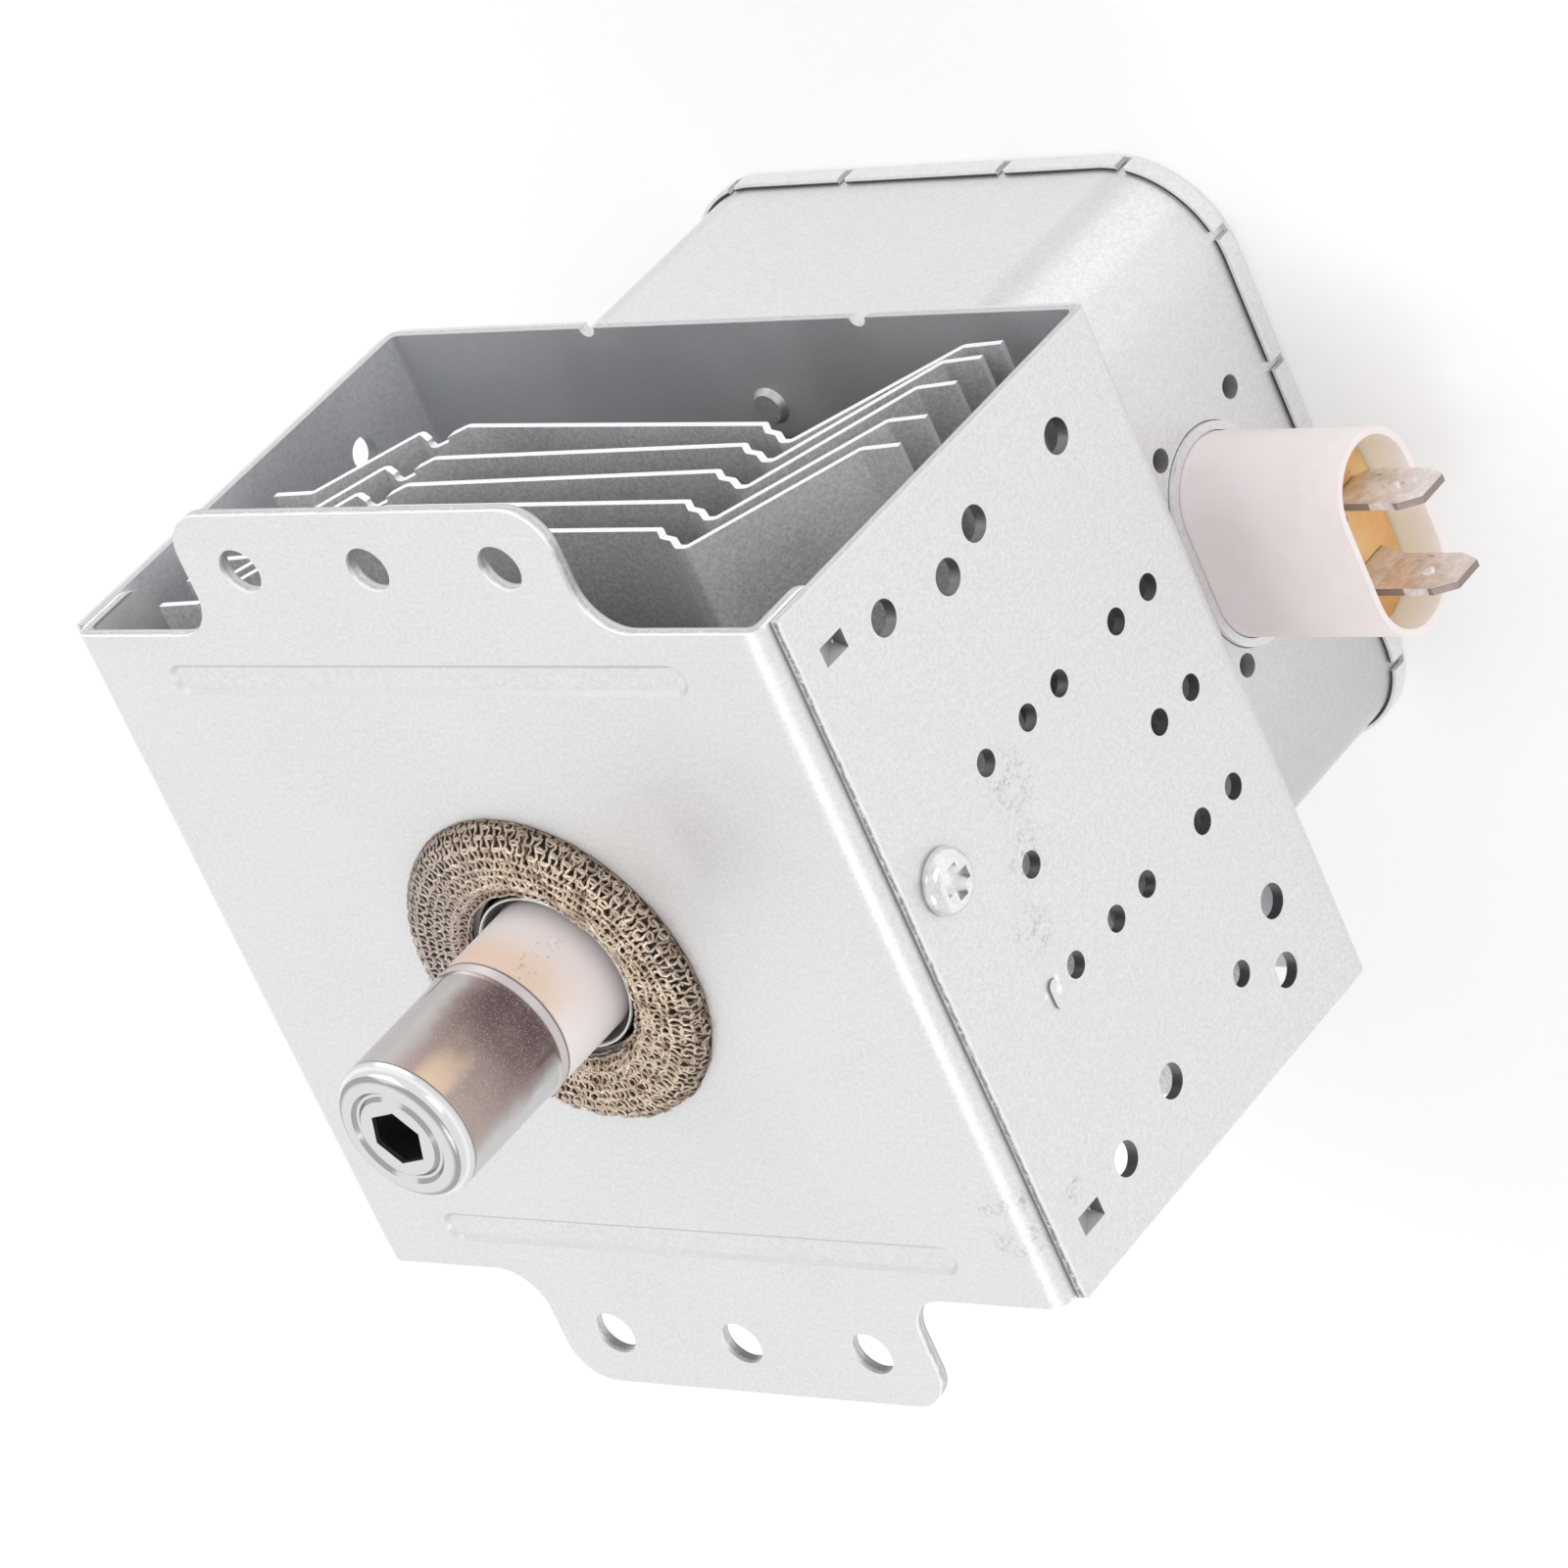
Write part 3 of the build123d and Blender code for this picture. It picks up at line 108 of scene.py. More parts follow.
class Sheet:
    """A node tree that is filled by short calls."""

    def __init__(self, tree: Tree) -> None:
        """Keep the tree to fill."""
        self.tree = tree

    def add(self, kind: str, inputs: dict | None = None, **settings: object) -> bpy.types.Node:
        """Add a node, set it up and feed its sockets.

        Args:
            kind: The node's type, such as ShaderNodeTexNoise.
            inputs: Values or output sockets for its inputs, by name or number.
            settings: Properties of the node by name.

        Returns:
            The new node.
        """
        node = self.tree.nodes.new(kind)
        for name, value in settings.items():
            setattr(node, name, value)
        for name, value in (inputs or {}).items():
            self.feed(node.inputs[name], value)
        return node

    def feed(self, socket: Socket, value: object) -> None:
        """Link an output socket to an input, or set the input's own value."""
        if isinstance(value, Socket):
            self.tree.links.new(value, socket)
        else:
            socket.default_value = value

    def maths(self, operation: str, *values: Value) -> Socket:
        """Add a Math node, or a chain of them for more than two operands."""
        result, *others = values
        for other in others or [0.0]:
            result = self.add("ShaderNodeMath", {0: result, 1: other}, operation=operation).outputs[0]
        return result

    def times(self, *values: Value) -> Socket:
        """Multiply the values."""
        return self.maths("MULTIPLY", *values)

    def plus(self, *values: Value) -> Socket:
        """Add the values up."""
        return self.maths("ADD", *values)

    def minus(self, first: Value, second: Value) -> Socket:
        """Take the second value from the first."""
        return self.maths("SUBTRACT", first, second)

    def over(self, first: Value, second: Value) -> Socket:
        """Divide the first value by the second."""
        return self.maths("DIVIDE", first, second)

    def most(self, *values: Value) -> Socket:
        """Give the greatest of the values."""
        return self.maths("MAXIMUM", *values)

    def size(self, value: Value) -> Socket:
        """Drop the value's sign."""
        return self.maths("ABSOLUTE", value)

    def above(self, value: Value, limit: Value) -> Socket:
        """Test whether the value exceeds the limit."""
        return self.maths("GREATER_THAN", value, limit)

    def below(self, value: Value, limit: Value) -> Socket:
        """Test whether the value falls short of the limit."""
        return self.maths("LESS_THAN", value, limit)

    def distance(self, *ways: Value) -> Socket:
        """Give the length of two ways at right angles."""
        return self.maths("SQRT", self.plus(*(self.times(way, way) for way in ways)))

    def span(self, value: Value, low: float, high: float, to_low: float = 0.0, to_high: float = 1.0) -> Socket:
        """Map a value smoothly from the range low to high to another."""
        inputs = {"Value": value, "From Min": low, "From Max": high, "To Min": to_low, "To Max": to_high}
        return self.add("ShaderNodeMapRange", inputs, interpolation_type="SMOOTHSTEP").outputs[0]

    def mix(self, factor: Value, first: object, second: object) -> Socket:
        """Mix two colours by the second one's share."""
        inputs = {0: factor, 6: first, 7: second}
        return self.add("ShaderNodeMix", inputs, data_type="RGBA").outputs[2]

    def layer(self, colour: object, *coats: tuple[Value, object]) -> Socket:
        """Lay coats of colour, each with its mask, over a first one."""
        for mask, coat in coats:
            colour = self.mix(mask, colour, coat)
        return colour

    def noise(self, scale: Value, detail: float, rough: float, where: Socket | None = None) -> Socket:
        """Add a noise texture in waves per metre, on the object coordinates or a place of its own."""
        inputs = {"Vector": where or self.place(), "Scale": scale, "Detail": detail, "Roughness": rough}
        return self.add("ShaderNodeTexNoise", inputs).outputs[0]

    def place(self) -> Socket:
        """Give the object coordinates' socket."""
        return self.add("ShaderNodeTexCoord").outputs["Object"]

    def axes(self) -> Sockets:
        """Give the parts of the object coordinates."""
        return self.add("ShaderNodeSeparateXYZ", {0: self.place()}).outputs

    def look(self) -> Sockets:
        """Give the parts of the normal."""
        normal = self.add("ShaderNodeNewGeometry").outputs["Normal"]
        return self.add("ShaderNodeSeparateXYZ", {0: normal}).outputs


class Group(Sheet):
    """A shared shader effect with named inputs and outputs, all of them plain values."""

    def __init__(self, name: str, **inputs: float) -> None:
        """Start an empty group with its inputs and their first values."""
        super().__init__(bpy.data.node_groups.new(name, "ShaderNodeTree"))
        for label, value in inputs.items():
            socket = self.tree.interface.new_socket(label, in_out="INPUT", socket_type=FLOAT_SOCKET)
            socket.default_value = value
        self.given = self.add("NodeGroupInput").outputs

    def close(self, **results: Socket) -> Tree:
        """Link the results by output name and hand over the group."""
        for label in results:
            self.tree.interface.new_socket(label, in_out="OUTPUT", socket_type=FLOAT_SOCKET)
        self.add("NodeGroupOutput", results)
        return self.tree


class Effects:
    """The shader groups that several finishes share."""

    def __init__(self) -> None:
        """Build each group once."""
        self.grain = self._grain()
        self.sheared = self._sheared()
        self.rubs = self._rubs()
        self.smudge = self._smudge()
        self.round = self._round()

    @staticmethod
    def _grain() -> Tree:
        """Make the fine mottling of coated sheet and its clouds.

        Returns:
            A group that puts out a tone, clouds and a height, all from 0 to 1.
        """
        group = Group("grain", Scale=4500.0)
        scale = group.given["Scale"]
        fine = group.noise(scale, 3.0, 0.6)
        fleck = group.noise(group.times(scale, 0.45), 2.0, 0.5)
        clouds = group.noise(group.times(scale, 0.012), 3.0, 0.55)
        tone = group.plus(group.times(fine, 0.6), group.times(fleck, 0.4))
        return group.close(Tone=group.span(tone, 0.36, 0.64), Clouds=group.span(clouds, 0.3, 0.7), Height=fine)

    @staticmethod
    def _sheared() -> Tree:
        """Make the bands that a shear leaves across the thickness of a sheet.

        Returns:
            A group with masks of the burnished edge, and of the torn band joined with a painted shade line along the
            seam near the sheet's inner face, from the way across.
        """
        group = Group("sheared", Across=0.0)
        wander = group.minus(group.noise(900.0, 3.0, 0.6), 0.5)
        across = group.plus(group.given["Across"], group.times(wander, 0.45))
        band = group.times(group.span(across, 0.34, 0.46), group.span(across, 0.80, 0.62))
        speck = group.span(group.noise(2200.0, 2.0, 0.6), 0.32, 0.50)
        # painted shade: a dark line along the seam near the sheet's inner face, laid in with the torn band
        joint = group.times(group.span(group.given["Across"], 0.72, 0.9), 0.9)
        torn_and_seam_shade = group.most(group.times(band, speck, 0.75), joint)
        return group.close(Bright=group.span(across, 0.36, 0.2), Torn=torn_and_seam_shade)

    @staticmethod
    def _rubs() -> Tree:
        """Make scattered scratches and rubbed spots.

        Returns:
            A group that puts out a mask of thin rubs.
        """
        group = Group("rubs", Length=60.0, Width=1500.0)
        at, wide = group.axes(), group.given["Width"]
        run = group.times(group.plus(at["X"], at["Y"]), group.given["Length"])
        inputs = {"X": run, "Y": group.times(at["Y"], wide), "Z": group.times(at["Z"], wide)}
        line = group.noise(1.0, 2.0, 0.6, group.add("ShaderNodeCombineXYZ", inputs).outputs[0])
        patch = group.noise(130.0, 2.0, 0.5)
        return group.close(Mask=group.times(group.span(line, 0.66, 0.74), group.span(patch, 0.52, 0.66)))

    @staticmethod
    def _smudge() -> Tree:
        """Make one scuffed spot on a wall, whose place in Y and Z and radius are in millimetres.

        Returns:
            A group that puts out a speckled mask and a plain one.
        """
        group = Group("smudge", Y=0.0, Z=0.0, Radius=3.0)
        at = group.axes()
        ways = [group.minus(at[axis], group.times(group.given[axis], MM)) for axis in "YZ"]
        reach = group.over(group.distance(*ways), group.times(group.given["Radius"], MM))
        speck = group.span(group.noise(2100.0, 4.0, 0.75), 0.47, 0.60)
        smear = group.span(group.noise(600.0, 3.0, 0.6), 0.40, 0.56)
        spot = group.span(reach, 1.0, 0.2)
        return group.close(Mask=group.times(spot, speck, smear), Spot=spot)

    @staticmethod
    def _round() -> Tree:
        """Measure a place on a round part about the antenna's axis.

        Returns:
            A group that puts out how squarely the place faces an angle, and its height as a share.
        """
        group = Group("round", Angle=35.0, Radius=7.75, Foot=0.0, Top=10.0)
        at, given = group.axes(), group.given
        turn = group.maths("RADIANS", given["Angle"])
        across = group.times(at["X"], group.maths("COSINE", turn))
        along = group.times(at["Y"], group.maths("SINE", turn))
        facing = group.over(group.plus(across, along), group.times(given["Radius"], MM))
        level = group.minus(group.over(at["Z"], MM), given["Foot"])
        length = group.minus(given["Top"], given["Foot"])
        return group.close(Facing=facing, Height=group.over(level, length))


class Shader(Sheet):
    """A material under construction, with the shared grain at hand."""

    def __init__(self, name: str, effects: Effects, grain_scale: float) -> None:
        """Start a material with its Principled shader and its grain.

        Args:
            name: The material's name.
            effects: The shared shader groups.
            grain_scale: The grain's waves in a metre.
        """
        self.material = bpy.data.materials.new(name)
        self.material.use_nodes = True
        super().__init__(self.material.node_tree)
        self.effects = effects
        self.surface = self.tree.nodes["Principled BSDF"]
        self.grain = self.group(effects.grain, Scale=grain_scale)

    def group(self, tree: Tree, **inputs: Value) -> Sockets:
        """Place a shared group with its own values and give its outputs."""
        return self.add("ShaderNodeGroup", inputs, node_tree=tree).outputs

    def set(self, **values: object) -> None:
        """Feed the Principled shader; an underscore in a name stands for a blank."""
        for name, value in values.items():
            self.feed(self.surface.inputs[name.replace("_", " ")], value)

    def roughen(self, low: float, high: float, mask: str = "Clouds") -> None:
        """Let the roughness follow one of the grain's outputs, low to high."""
        self.set(Roughness=self.span(self.grain[mask], 0.0, 1.0, low, high))

    def bump(self, depth: float) -> None:
        """Raise the grain by a depth in millimetres."""
        inputs = {"Height": self.grain["Height"], "Distance": depth * MM, "Strength": 1.0}
        self.set(Normal=self.add("ShaderNodeBump", inputs).outputs[0])


class Cut(Enum):
    """Which part's sheared faces a sheet finish shows."""

    NONE = "none"
    YOKE = "yoke"
    PLATE = "plate"
    FIN = "fin"
    LID = "lid"
    CASE = "case"


@dataclass
class Masks:
    """Where a sheet part was sheared, drilled or staked, and where it gets painted shade or painted light."""

    edge: Value = 0.0
    across: Value = 0.0
    hole: Value = 0.0
    pit: Value = 0.0
    shade: Value = 0.0
    soft: Value = 0.0
    pale: Value = 0.0


@dataclass(frozen=True)
class PartSizes:
    """The outer sizes, in millimetres, by which a sheet part's faces are told apart.

    The bands hold the X and Y that their middle faces, and the least share of it that counts.
    """

    gauge: float = 1.3
    wall: float = 46.5
    flange: float = 45.1
    back: float = -56.0
    back_inside: float = -50.4
    reach: float = 38.6
    wall_front: float = -2.2
    fin_tip: float = 28.0
    tab_end: float = -89.3
    case_straight: float = 23.2
    case_corner: float = 11.0
    case_low_shade: tuple[float, float] = (4.0, -34.0)
    stake_y: tuple[float, float] = (30.3, 35.3)
    stake_z: tuple[float, float] = (-9.6, -4.2)
    bead_y: tuple[float, float] = (30.0, 37.5)
    bead_end: float = 37.5
    # a band of painted highlight and a band of painted shade along the case's rounded corners
    highlight_band: tuple[float, float, float] = (0.64, 0.768, 0.955)
    shade_band: tuple[float, float, float] = (0.24, 0.971, 0.985)


class SheetPlaces:
    """Tells the faces of a sheet part apart by where they lie and how they face."""

    def __init__(self, sheet: Shader) -> None:
        """Read the surface's place and normal, with and without their signs."""
        self.sheet = sheet
        self.sizes = PartSizes()
        self.at, self.look = sheet.axes(), sheet.look()
        self.x, self.y, self.z = sheet.size(self.at["X"]), sheet.size(self.at["Y"]), self.at["Z"]
        self.nx, self.ny, self.nz = (sheet.size(self.look[axis]) for axis in "XYZ")

    def read(self, cut: Cut) -> Masks:
        """Work out the masks of one part."""
        ways = {Cut.YOKE: self._yoke, Cut.PLATE: self._plate, Cut.FIN: self._fin, Cut.LID: self._lid}
        ways[Cut.CASE] = self._case
        return ways.get(cut, Masks)()

    def _past(self, value: Value, limit: float) -> Socket:
        """Test whether a coordinate lies past a limit in millimetres."""
        return self.sheet.above(value, limit * MM)

    def _within(self, value: Value, low: float, high: float) -> Socket:
        """Test whether a coordinate lies between two limits in millimetres."""
        return self.sheet.times(self._past(value, low), self.sheet.below(value, high * MM))

    def _share(self, outer: float, value: Value, sign: float) -> Socket:
        """Measure the way in from the outer face as a share; the sign is -1 where the coordinate rises."""
        off = self.sheet.minus(outer * MM, value)
        return self.sheet.times(off, sign / (self.sizes.gauge * MM))

    def _turned(self, band: tuple[float, float, float], strength: float) -> Socket:
        """Mask one of the bands along the case's corners, at a strength."""
        towards = self.sheet.plus(self.sheet.times(self.nx, band[0]), self.sheet.times(self.ny, band[1]))
        return self.sheet.times(self.sheet.span(towards, band[2], 1.0), strength)

    def _proud(self) -> Socket:
        """Measure in millimetres how far a place stands off the case's rounded sides."""
        sheet = self.sheet
        ways = (sheet.minus(sheet.over(value, MM), self.sizes.case_straight) for value in (self.x, self.y))
        return sheet.minus(sheet.distance(*(sheet.most(way, 0.0) for way in ways)), self.sizes.case_corner)

    def _staked(self) -> Socket:
        """Mask the sunken faces of the stakes that lock plate and yoke."""
        spot = self.sheet.times(self._within(self.y, *self.sizes.stake_y), self._within(self.z, *self.sizes.stake_z))
        side = self._past(self.x, self.sizes.flange - 3 * self.sizes.gauge)
        return self.sheet.times(spot, side, self.sheet.span(self.nx, 0.985, 0.93))

    def _yoke(self) -> Masks:
        """Find the yoke's rims, wall ends, holes and stakes, and the faces in its shade or light."""
        sheet, sizes = self.sheet, self.sizes
        rim = sheet.times(sheet.span(self.ny, 0.75, 0.9), self._past(self.y, sizes.reach))
        front = sheet.times(sheet.span(self.look["Z"], 0.75, 0.9), self._past(self.z, sizes.wall_front))
        across = sheet.maths("MINIMUM", self._share(sizes.wall, self.x, 1), self._share(sizes.back, self.z, -1))
        wall = sheet.times(self._past(self.x, sizes.flange), sheet.below(self.y, sizes.reach * MM))
        deep = self._within(self.z, sizes.back + sizes.gauge, sizes.wall_front)
        # painted shade on the walls of the holes through the side walls
        bore = sheet.times(sheet.span(self.nx, 0.5, 0.3), deep)
        shade = sheet.times(sheet.span(self.look["Z"], 0.6, 0.85), sheet.below(self.z, sizes.back_inside * MM))
        # painted light: the inner face of the left wall is painted paler
        left = sheet.below(self.at["X"], -sizes.flange * MM)
        pale = sheet.times(left, sheet.span(self.look["X"], 0.6, 0.85))
        return Masks(sheet.most(rim, front), across, sheet.times(wall, bore), self._staked(), shade, rim, pale)

    def _plate(self) -> Masks:
        """Find the mounting plate's outline, holes, stakes and beads, with painted shade on the beads' slopes and a
        painted highlight on its bend.
        """
        sheet, sizes = self.sheet, self.sizes
        flat = sheet.below(self.x, (sizes.flange - sizes.gauge) * MM)
        edge = sheet.times(sheet.span(self.nz, 0.5, 0.3), sheet.most(flat, self._past(self.y, sizes.reach)))
        across = sheet.maths("MINIMUM", self._share(0.0, self.z, 1), self._share(sizes.flange, self.x, 1))
        bead = sheet.times(self._within(self.y, *sizes.bead_y), sheet.below(self.x, sizes.bead_end * MM))
        # painted shade on the slopes of the beads
        slope = sheet.times(bead, sheet.span(self.nz, 0.995, 0.95))
        # painted highlight along the bend into the flange
        bend = sheet.times(sheet.span(self.look["X"], 0.12, 0.45), sheet.span(self.look["X"], 0.86, 0.66))
        pale = sheet.times(bend, sheet.span(self.look["Z"], 0.3, 0.5), 0.6)
        return Masks(edge, across, pit=self._staked(), shade=slope, pale=pale)

    def _fin(self) -> Masks:
        """Find a fin's sheared edges."""
        tip = self.sheet.times(self.sheet.span(self.nx, 0.93, 0.97), self._past(self.x, self.sizes.fin_tip))
        long = self.sheet.times(self.sheet.span(self.ny, 0.75, 0.9), self._past(self.y, self.sizes.fin_tip))
        return Masks(edge=self.sheet.most(tip, long))

    def _lid(self) -> Masks:
        """Find the tab ends next to the case, painted as a dark line of shade where the tabs close on it."""
        end = self.sheet.times(self.sheet.span(self.nz, 0.75, 0.9), self._past(self.z, self.sizes.tab_end))
        # painted shade: the gap between tab and case
        return Masks(hole=self.sheet.times(end, self.sheet.span(self._proud(), 0.42, 0.26)))

    def _case(self) -> Masks:
        """Find the case's lower side, darkened downwards with painted shade, and the bands of painted highlight and
        painted shade along its corners.
        """
        high, low = self.sizes.case_low_shade
        # painted shade, darker towards the bottom on the side facing +X
        low_shade = self.sheet.span(self.at["Y"], high * MM, low * MM)
        low_shade = self.sheet.times(low_shade, self.sheet.span(self.look["X"], 0.3, 0.9))
        shade = self.sheet.most(low_shade, self._turned(self.sizes.shade_band, 0.35))
        return Masks(shade=shade, pale=self._turned(self.sizes.highlight_band, 0.6))


@dataclass(frozen=True)
class Scuff:
    """A scuffed or bright spot on the right-hand wall, in millimetres."""

    y: float
    z: float
    radius: float
    bright: bool = False


class Finish:
    """A material that paint() colours and the shared grain roughens."""

    name: str
    grain_scale: float
    grain_depth: float

    def paint(self, sheet: Shader) -> None:
        """Colour the material under construction."""
        raise NotImplementedError

    def build(self, effects: Effects) -> bpy.types.Material:
        """Make the material.

        Args:
            effects: The shared shader groups.

        Returns:
            The material.
        """
        sheet = Shader(self.name, effects, self.grain_scale)
        self.paint(sheet)
        if self.grain_depth:
            sheet.bump(self.grain_depth)
        return sheet.material


@dataclass(frozen=True)
class CoatedSheet(Finish):
    """Zinc-coated or plain rolled sheet with bare cut edges."""

    name: str
    light: Colour = grey(0.885, -0.002)
    dark: Colour = grey(0.775, -0.003)
    edge: Colour = grey(0.72)
    burnish: Colour = grey(0.95)
    # the torn band of a sheared edge, and the colour of the painted seam shade
    torn_and_seam_shade: Colour = grey(0.30)
    # painted shade in holes and gaps
    hollow_shade: Colour = grey(0.30)
    # painted shade in the stake pits, and darker painted shade on their facets turned towards +Z
    pit: Colour = grey(0.36)
    pit_end: Colour = grey(0.12)
    # pale is painted light and painted highlight; shade is painted shade
    pale: Colour = (0.93, 0.95, 0.99, 1.0)
    shade: Colour = (0.60, 0.615, 0.64, 1.0)
    scuffed: Colour = grey(0.52)
    cut: Cut = Cut.NONE
    roughness: float = 0.44
    metallic: float = 0.75
    scuffs: tuple[Scuff, ...] = ()
    scuffs_past: float = 40.0
    grain_scale: float = 4500.0
    grain_depth: float = 0.003

    def paint(self, sheet: Shader) -> None:
        """Colour the coat, its scuffs and the part's cut faces.

        Args:
            sheet: The material under construction.
        """
        coat = sheet.mix(sheet.grain["Tone"], self.dark, self.light)
        colour = sheet.mix(sheet.times(sheet.grain["Clouds"], 0.25), coat, self.light)
        right = sheet.above(sheet.axes()["X"], self.scuffs_past * MM)
        outside = sheet.times(right, sheet.span(sheet.look()["X"], -0.3, -0.1))
        for scuff in self.scuffs:
            spot = sheet.group(sheet.effects.smudge, Y=scuff.y, Z=scuff.z, Radius=scuff.radius)
            mask, mark = ("Spot", self.burnish) if scuff.bright else ("Mask", self.scuffed)
            colour = sheet.mix(sheet.times(spot[mask], outside), colour, mark)
        if self.cut is not Cut.NONE:
            colour = self._cut_faces(sheet, colour)
        sheet.set(Base_Color=colour, Metallic=self.metallic)
        sheet.roughen(self.roughness - 0.05, self.roughness + 0.05)

    def _cut_faces(self, sheet: Shader, colour: Socket) -> Socket:
        """Colour the sheared, drilled and staked faces, and lay the painted light and painted shade.

        Args:
            sheet: The material under construction.
            colour: The coat's colour.

        Returns:
            The colour with them.
        """
        masks, tone = SheetPlaces(sheet).read(self.cut), sheet.grain["Tone"]
        bands = sheet.group(sheet.effects.sheared, Across=masks.across)
        rim = (sheet.times(masks.soft, 0.7), self.edge)
        bare = sheet.layer(self.edge, (bands["Torn"], self.torn_and_seam_shade), (bands["Bright"], self.burnish), rim)
        return sheet.layer(
            colour,
            (masks.edge, bare),
            (masks.hole, self.hollow_shade),
            # painted shade in the stake pits, darkest on the facets turned towards +Z
            (masks.pit, sheet.mix(sheet.span(sheet.look()["Z"], 0.05, 0.25), self.pit, self.pit_end)),
            # painted light, then painted shade, each mottled by the grain
            (sheet.times(masks.pale, sheet.span(tone, 0.0, 1.0, 0.5, 1.25)), self.pale),
            (sheet.times(masks.shade, sheet.span(tone, 0.0, 1.0, 1.0, 0.78)), self.shade),
        )


@dataclass(frozen=True)
class PlainFinish(Finish):
    """One material all over, with some grain in its colour and surface."""

    name: str
    light: Colour
    dark: Colour
    roughness: float = 0.5
    metallic: float = 0.0
    grain_scale: float = 1200.0
    grain_depth: float = 0.006

    def paint(self, sheet: Shader) -> None:
        """Colour the material by the grain alone."""
        colour = sheet.mix(sheet.grain["Tone"], self.dark, self.light)
        sheet.set(Base_Color=colour, Metallic=self.metallic)
        sheet.roughen(self.roughness - 0.05, self.roughness + 0.05)


@dataclass(frozen=True)
class HeatTintedSteel(Finish):
    """The cap's steel, coloured violet and straw on the side that the weld warmed; the straw stripe is partly a
    painted highlight, the lip has a painted highlight, and the nose's slopes and the ledge have painted shade.
    """

    name: str = "cap_steel"
    steel: Colour = grey(0.68, 0.002)
    nose: Colour = grey(0.80)
    flank_shade: Colour = grey(0.40)
    mauve: Colour = (0.50, 0.44, 0.44, 1.0)
    brown: Colour = (0.44, 0.335, 0.30, 1.0)
    violet: Colour = (0.125, 0.08, 0.082, 1.0)
    gold: Colour = (0.86, 0.65, 0.46, 1.0)
    lip: Colour = (0.76, 0.67, 0.66, 1.0)
    line: Colour = (0.16, 0.12, 0.11, 1.0)
    tint_angle: float = 30.0
    gold_angle: float = 44.0
    radius: float = 7.75
    foot: float = 9.9
    top: float = 27.2
    seam_angles: tuple[float, ...] = (105.8, -5.7)
    grain_scale: float = 3000.0
    grain_depth: float = 0.006

    def paint(self, sheet: Shader) -> None:
        """Tint the body, then draw the lip's painted highlight, the ledge's painted shade line and the seams.

        Args:
            sheet: The material under construction.
        """
        place = self._turned(sheet, self.tint_angle)
        height = place["Height"]
        wobble = sheet.times(sheet.minus(sheet.noise(260.0, 3.0, 0.6), 0.5), 0.30)
        facing, waved = sheet.plus(place["Facing"], wobble), sheet.plus(height, wobble)
        # the straw stripe's mask: heat tint and painted highlight at once
        warm = sheet.span(self._turned(sheet, self.gold_angle)["Facing"], 0.95, 1.0)
        body = sheet.times(sheet.span(height, 0.065, 0.085), sheet.span(height, 0.90, 0.875))
        left = sheet.times(sheet.span(sheet.look()["Y"], -0.2, 0.5), 0.6)
        middle = sheet.times(sheet.span(facing, 0.52, 0.90), body)
        speck = sheet.span(sheet.noise(6400.0, 2.0, 0.7), 0.52, 0.70)
        # painted shade on the sloping faces of the nose
        slope = sheet.times(sheet.span(sheet.look()["Z"], 0.995, 0.90), sheet.span(height, 0.975, 0.98))
        lines = sheet.most(
            sheet.span(height, 0.016, 0.010),
            # painted shade: a dark line at the ledge
            sheet.span(sheet.size(sheet.minus(height, 0.892)), 0.006, 0.0024),
            *(self._seam(sheet, height, angle) for angle in self.seam_angles),
        )
        colour = sheet.layer(
            self.steel,
            (sheet.span(height, 0.90, 0.91), sheet.mix(slope, self.nose, self.flank_shade)),
            (sheet.times(sheet.most(sheet.span(facing, 0.50, 0.85), left), body), self.mauve),
            (sheet.times(middle, 0.85), self.brown),
            (sheet.times(sheet.span(facing, 0.52, 0.95), sheet.span(waved, 0.85, 0.14), body, 0.92), self.violet),
            # straw heat tint, narrowed to a bright stripe that is also a painted highlight
            (sheet.times(warm, sheet.span(waved, 0.42, 0.94), body, 0.95), self.gold),
            (sheet.times(speck, middle, 0.48), self.lip),
            # painted highlight along the lip
            (sheet.times(sheet.span(height, 0.012, 0.02), sheet.span(height, 0.065, 0.05)), self.lip),
            (sheet.times(lines, 0.8), self.line),
        )
        rough = sheet.plus(sheet.span(body, 0.0, 1.0, 0.16, 0.30), sheet.span(speck, 0.0, 1.0, 0.0, 0.08))
        sheet.set(Base_Color=colour, Metallic=0.92, Roughness=rough)

    def _turned(self, sheet: Shader, angle: float) -> Sockets:
        """Measure a place on the cap against an angle in degrees."""
        return sheet.group(sheet.effects.round, Angle=angle, Radius=self.radius, Foot=self.foot, Top=self.top)

    def _seam(self, sheet: Shader, height: Socket, angle: float) -> Socket:
        """Mask a short scratch up the body from the lip, at an angle in degrees."""
        short = sheet.times(sheet.span(height, 0.07, 0.09), sheet.span(height, 0.32, 0.22))
        return sheet.times(sheet.span(self._turned(sheet, angle)["Facing"], 0.9982, 0.9996), short)


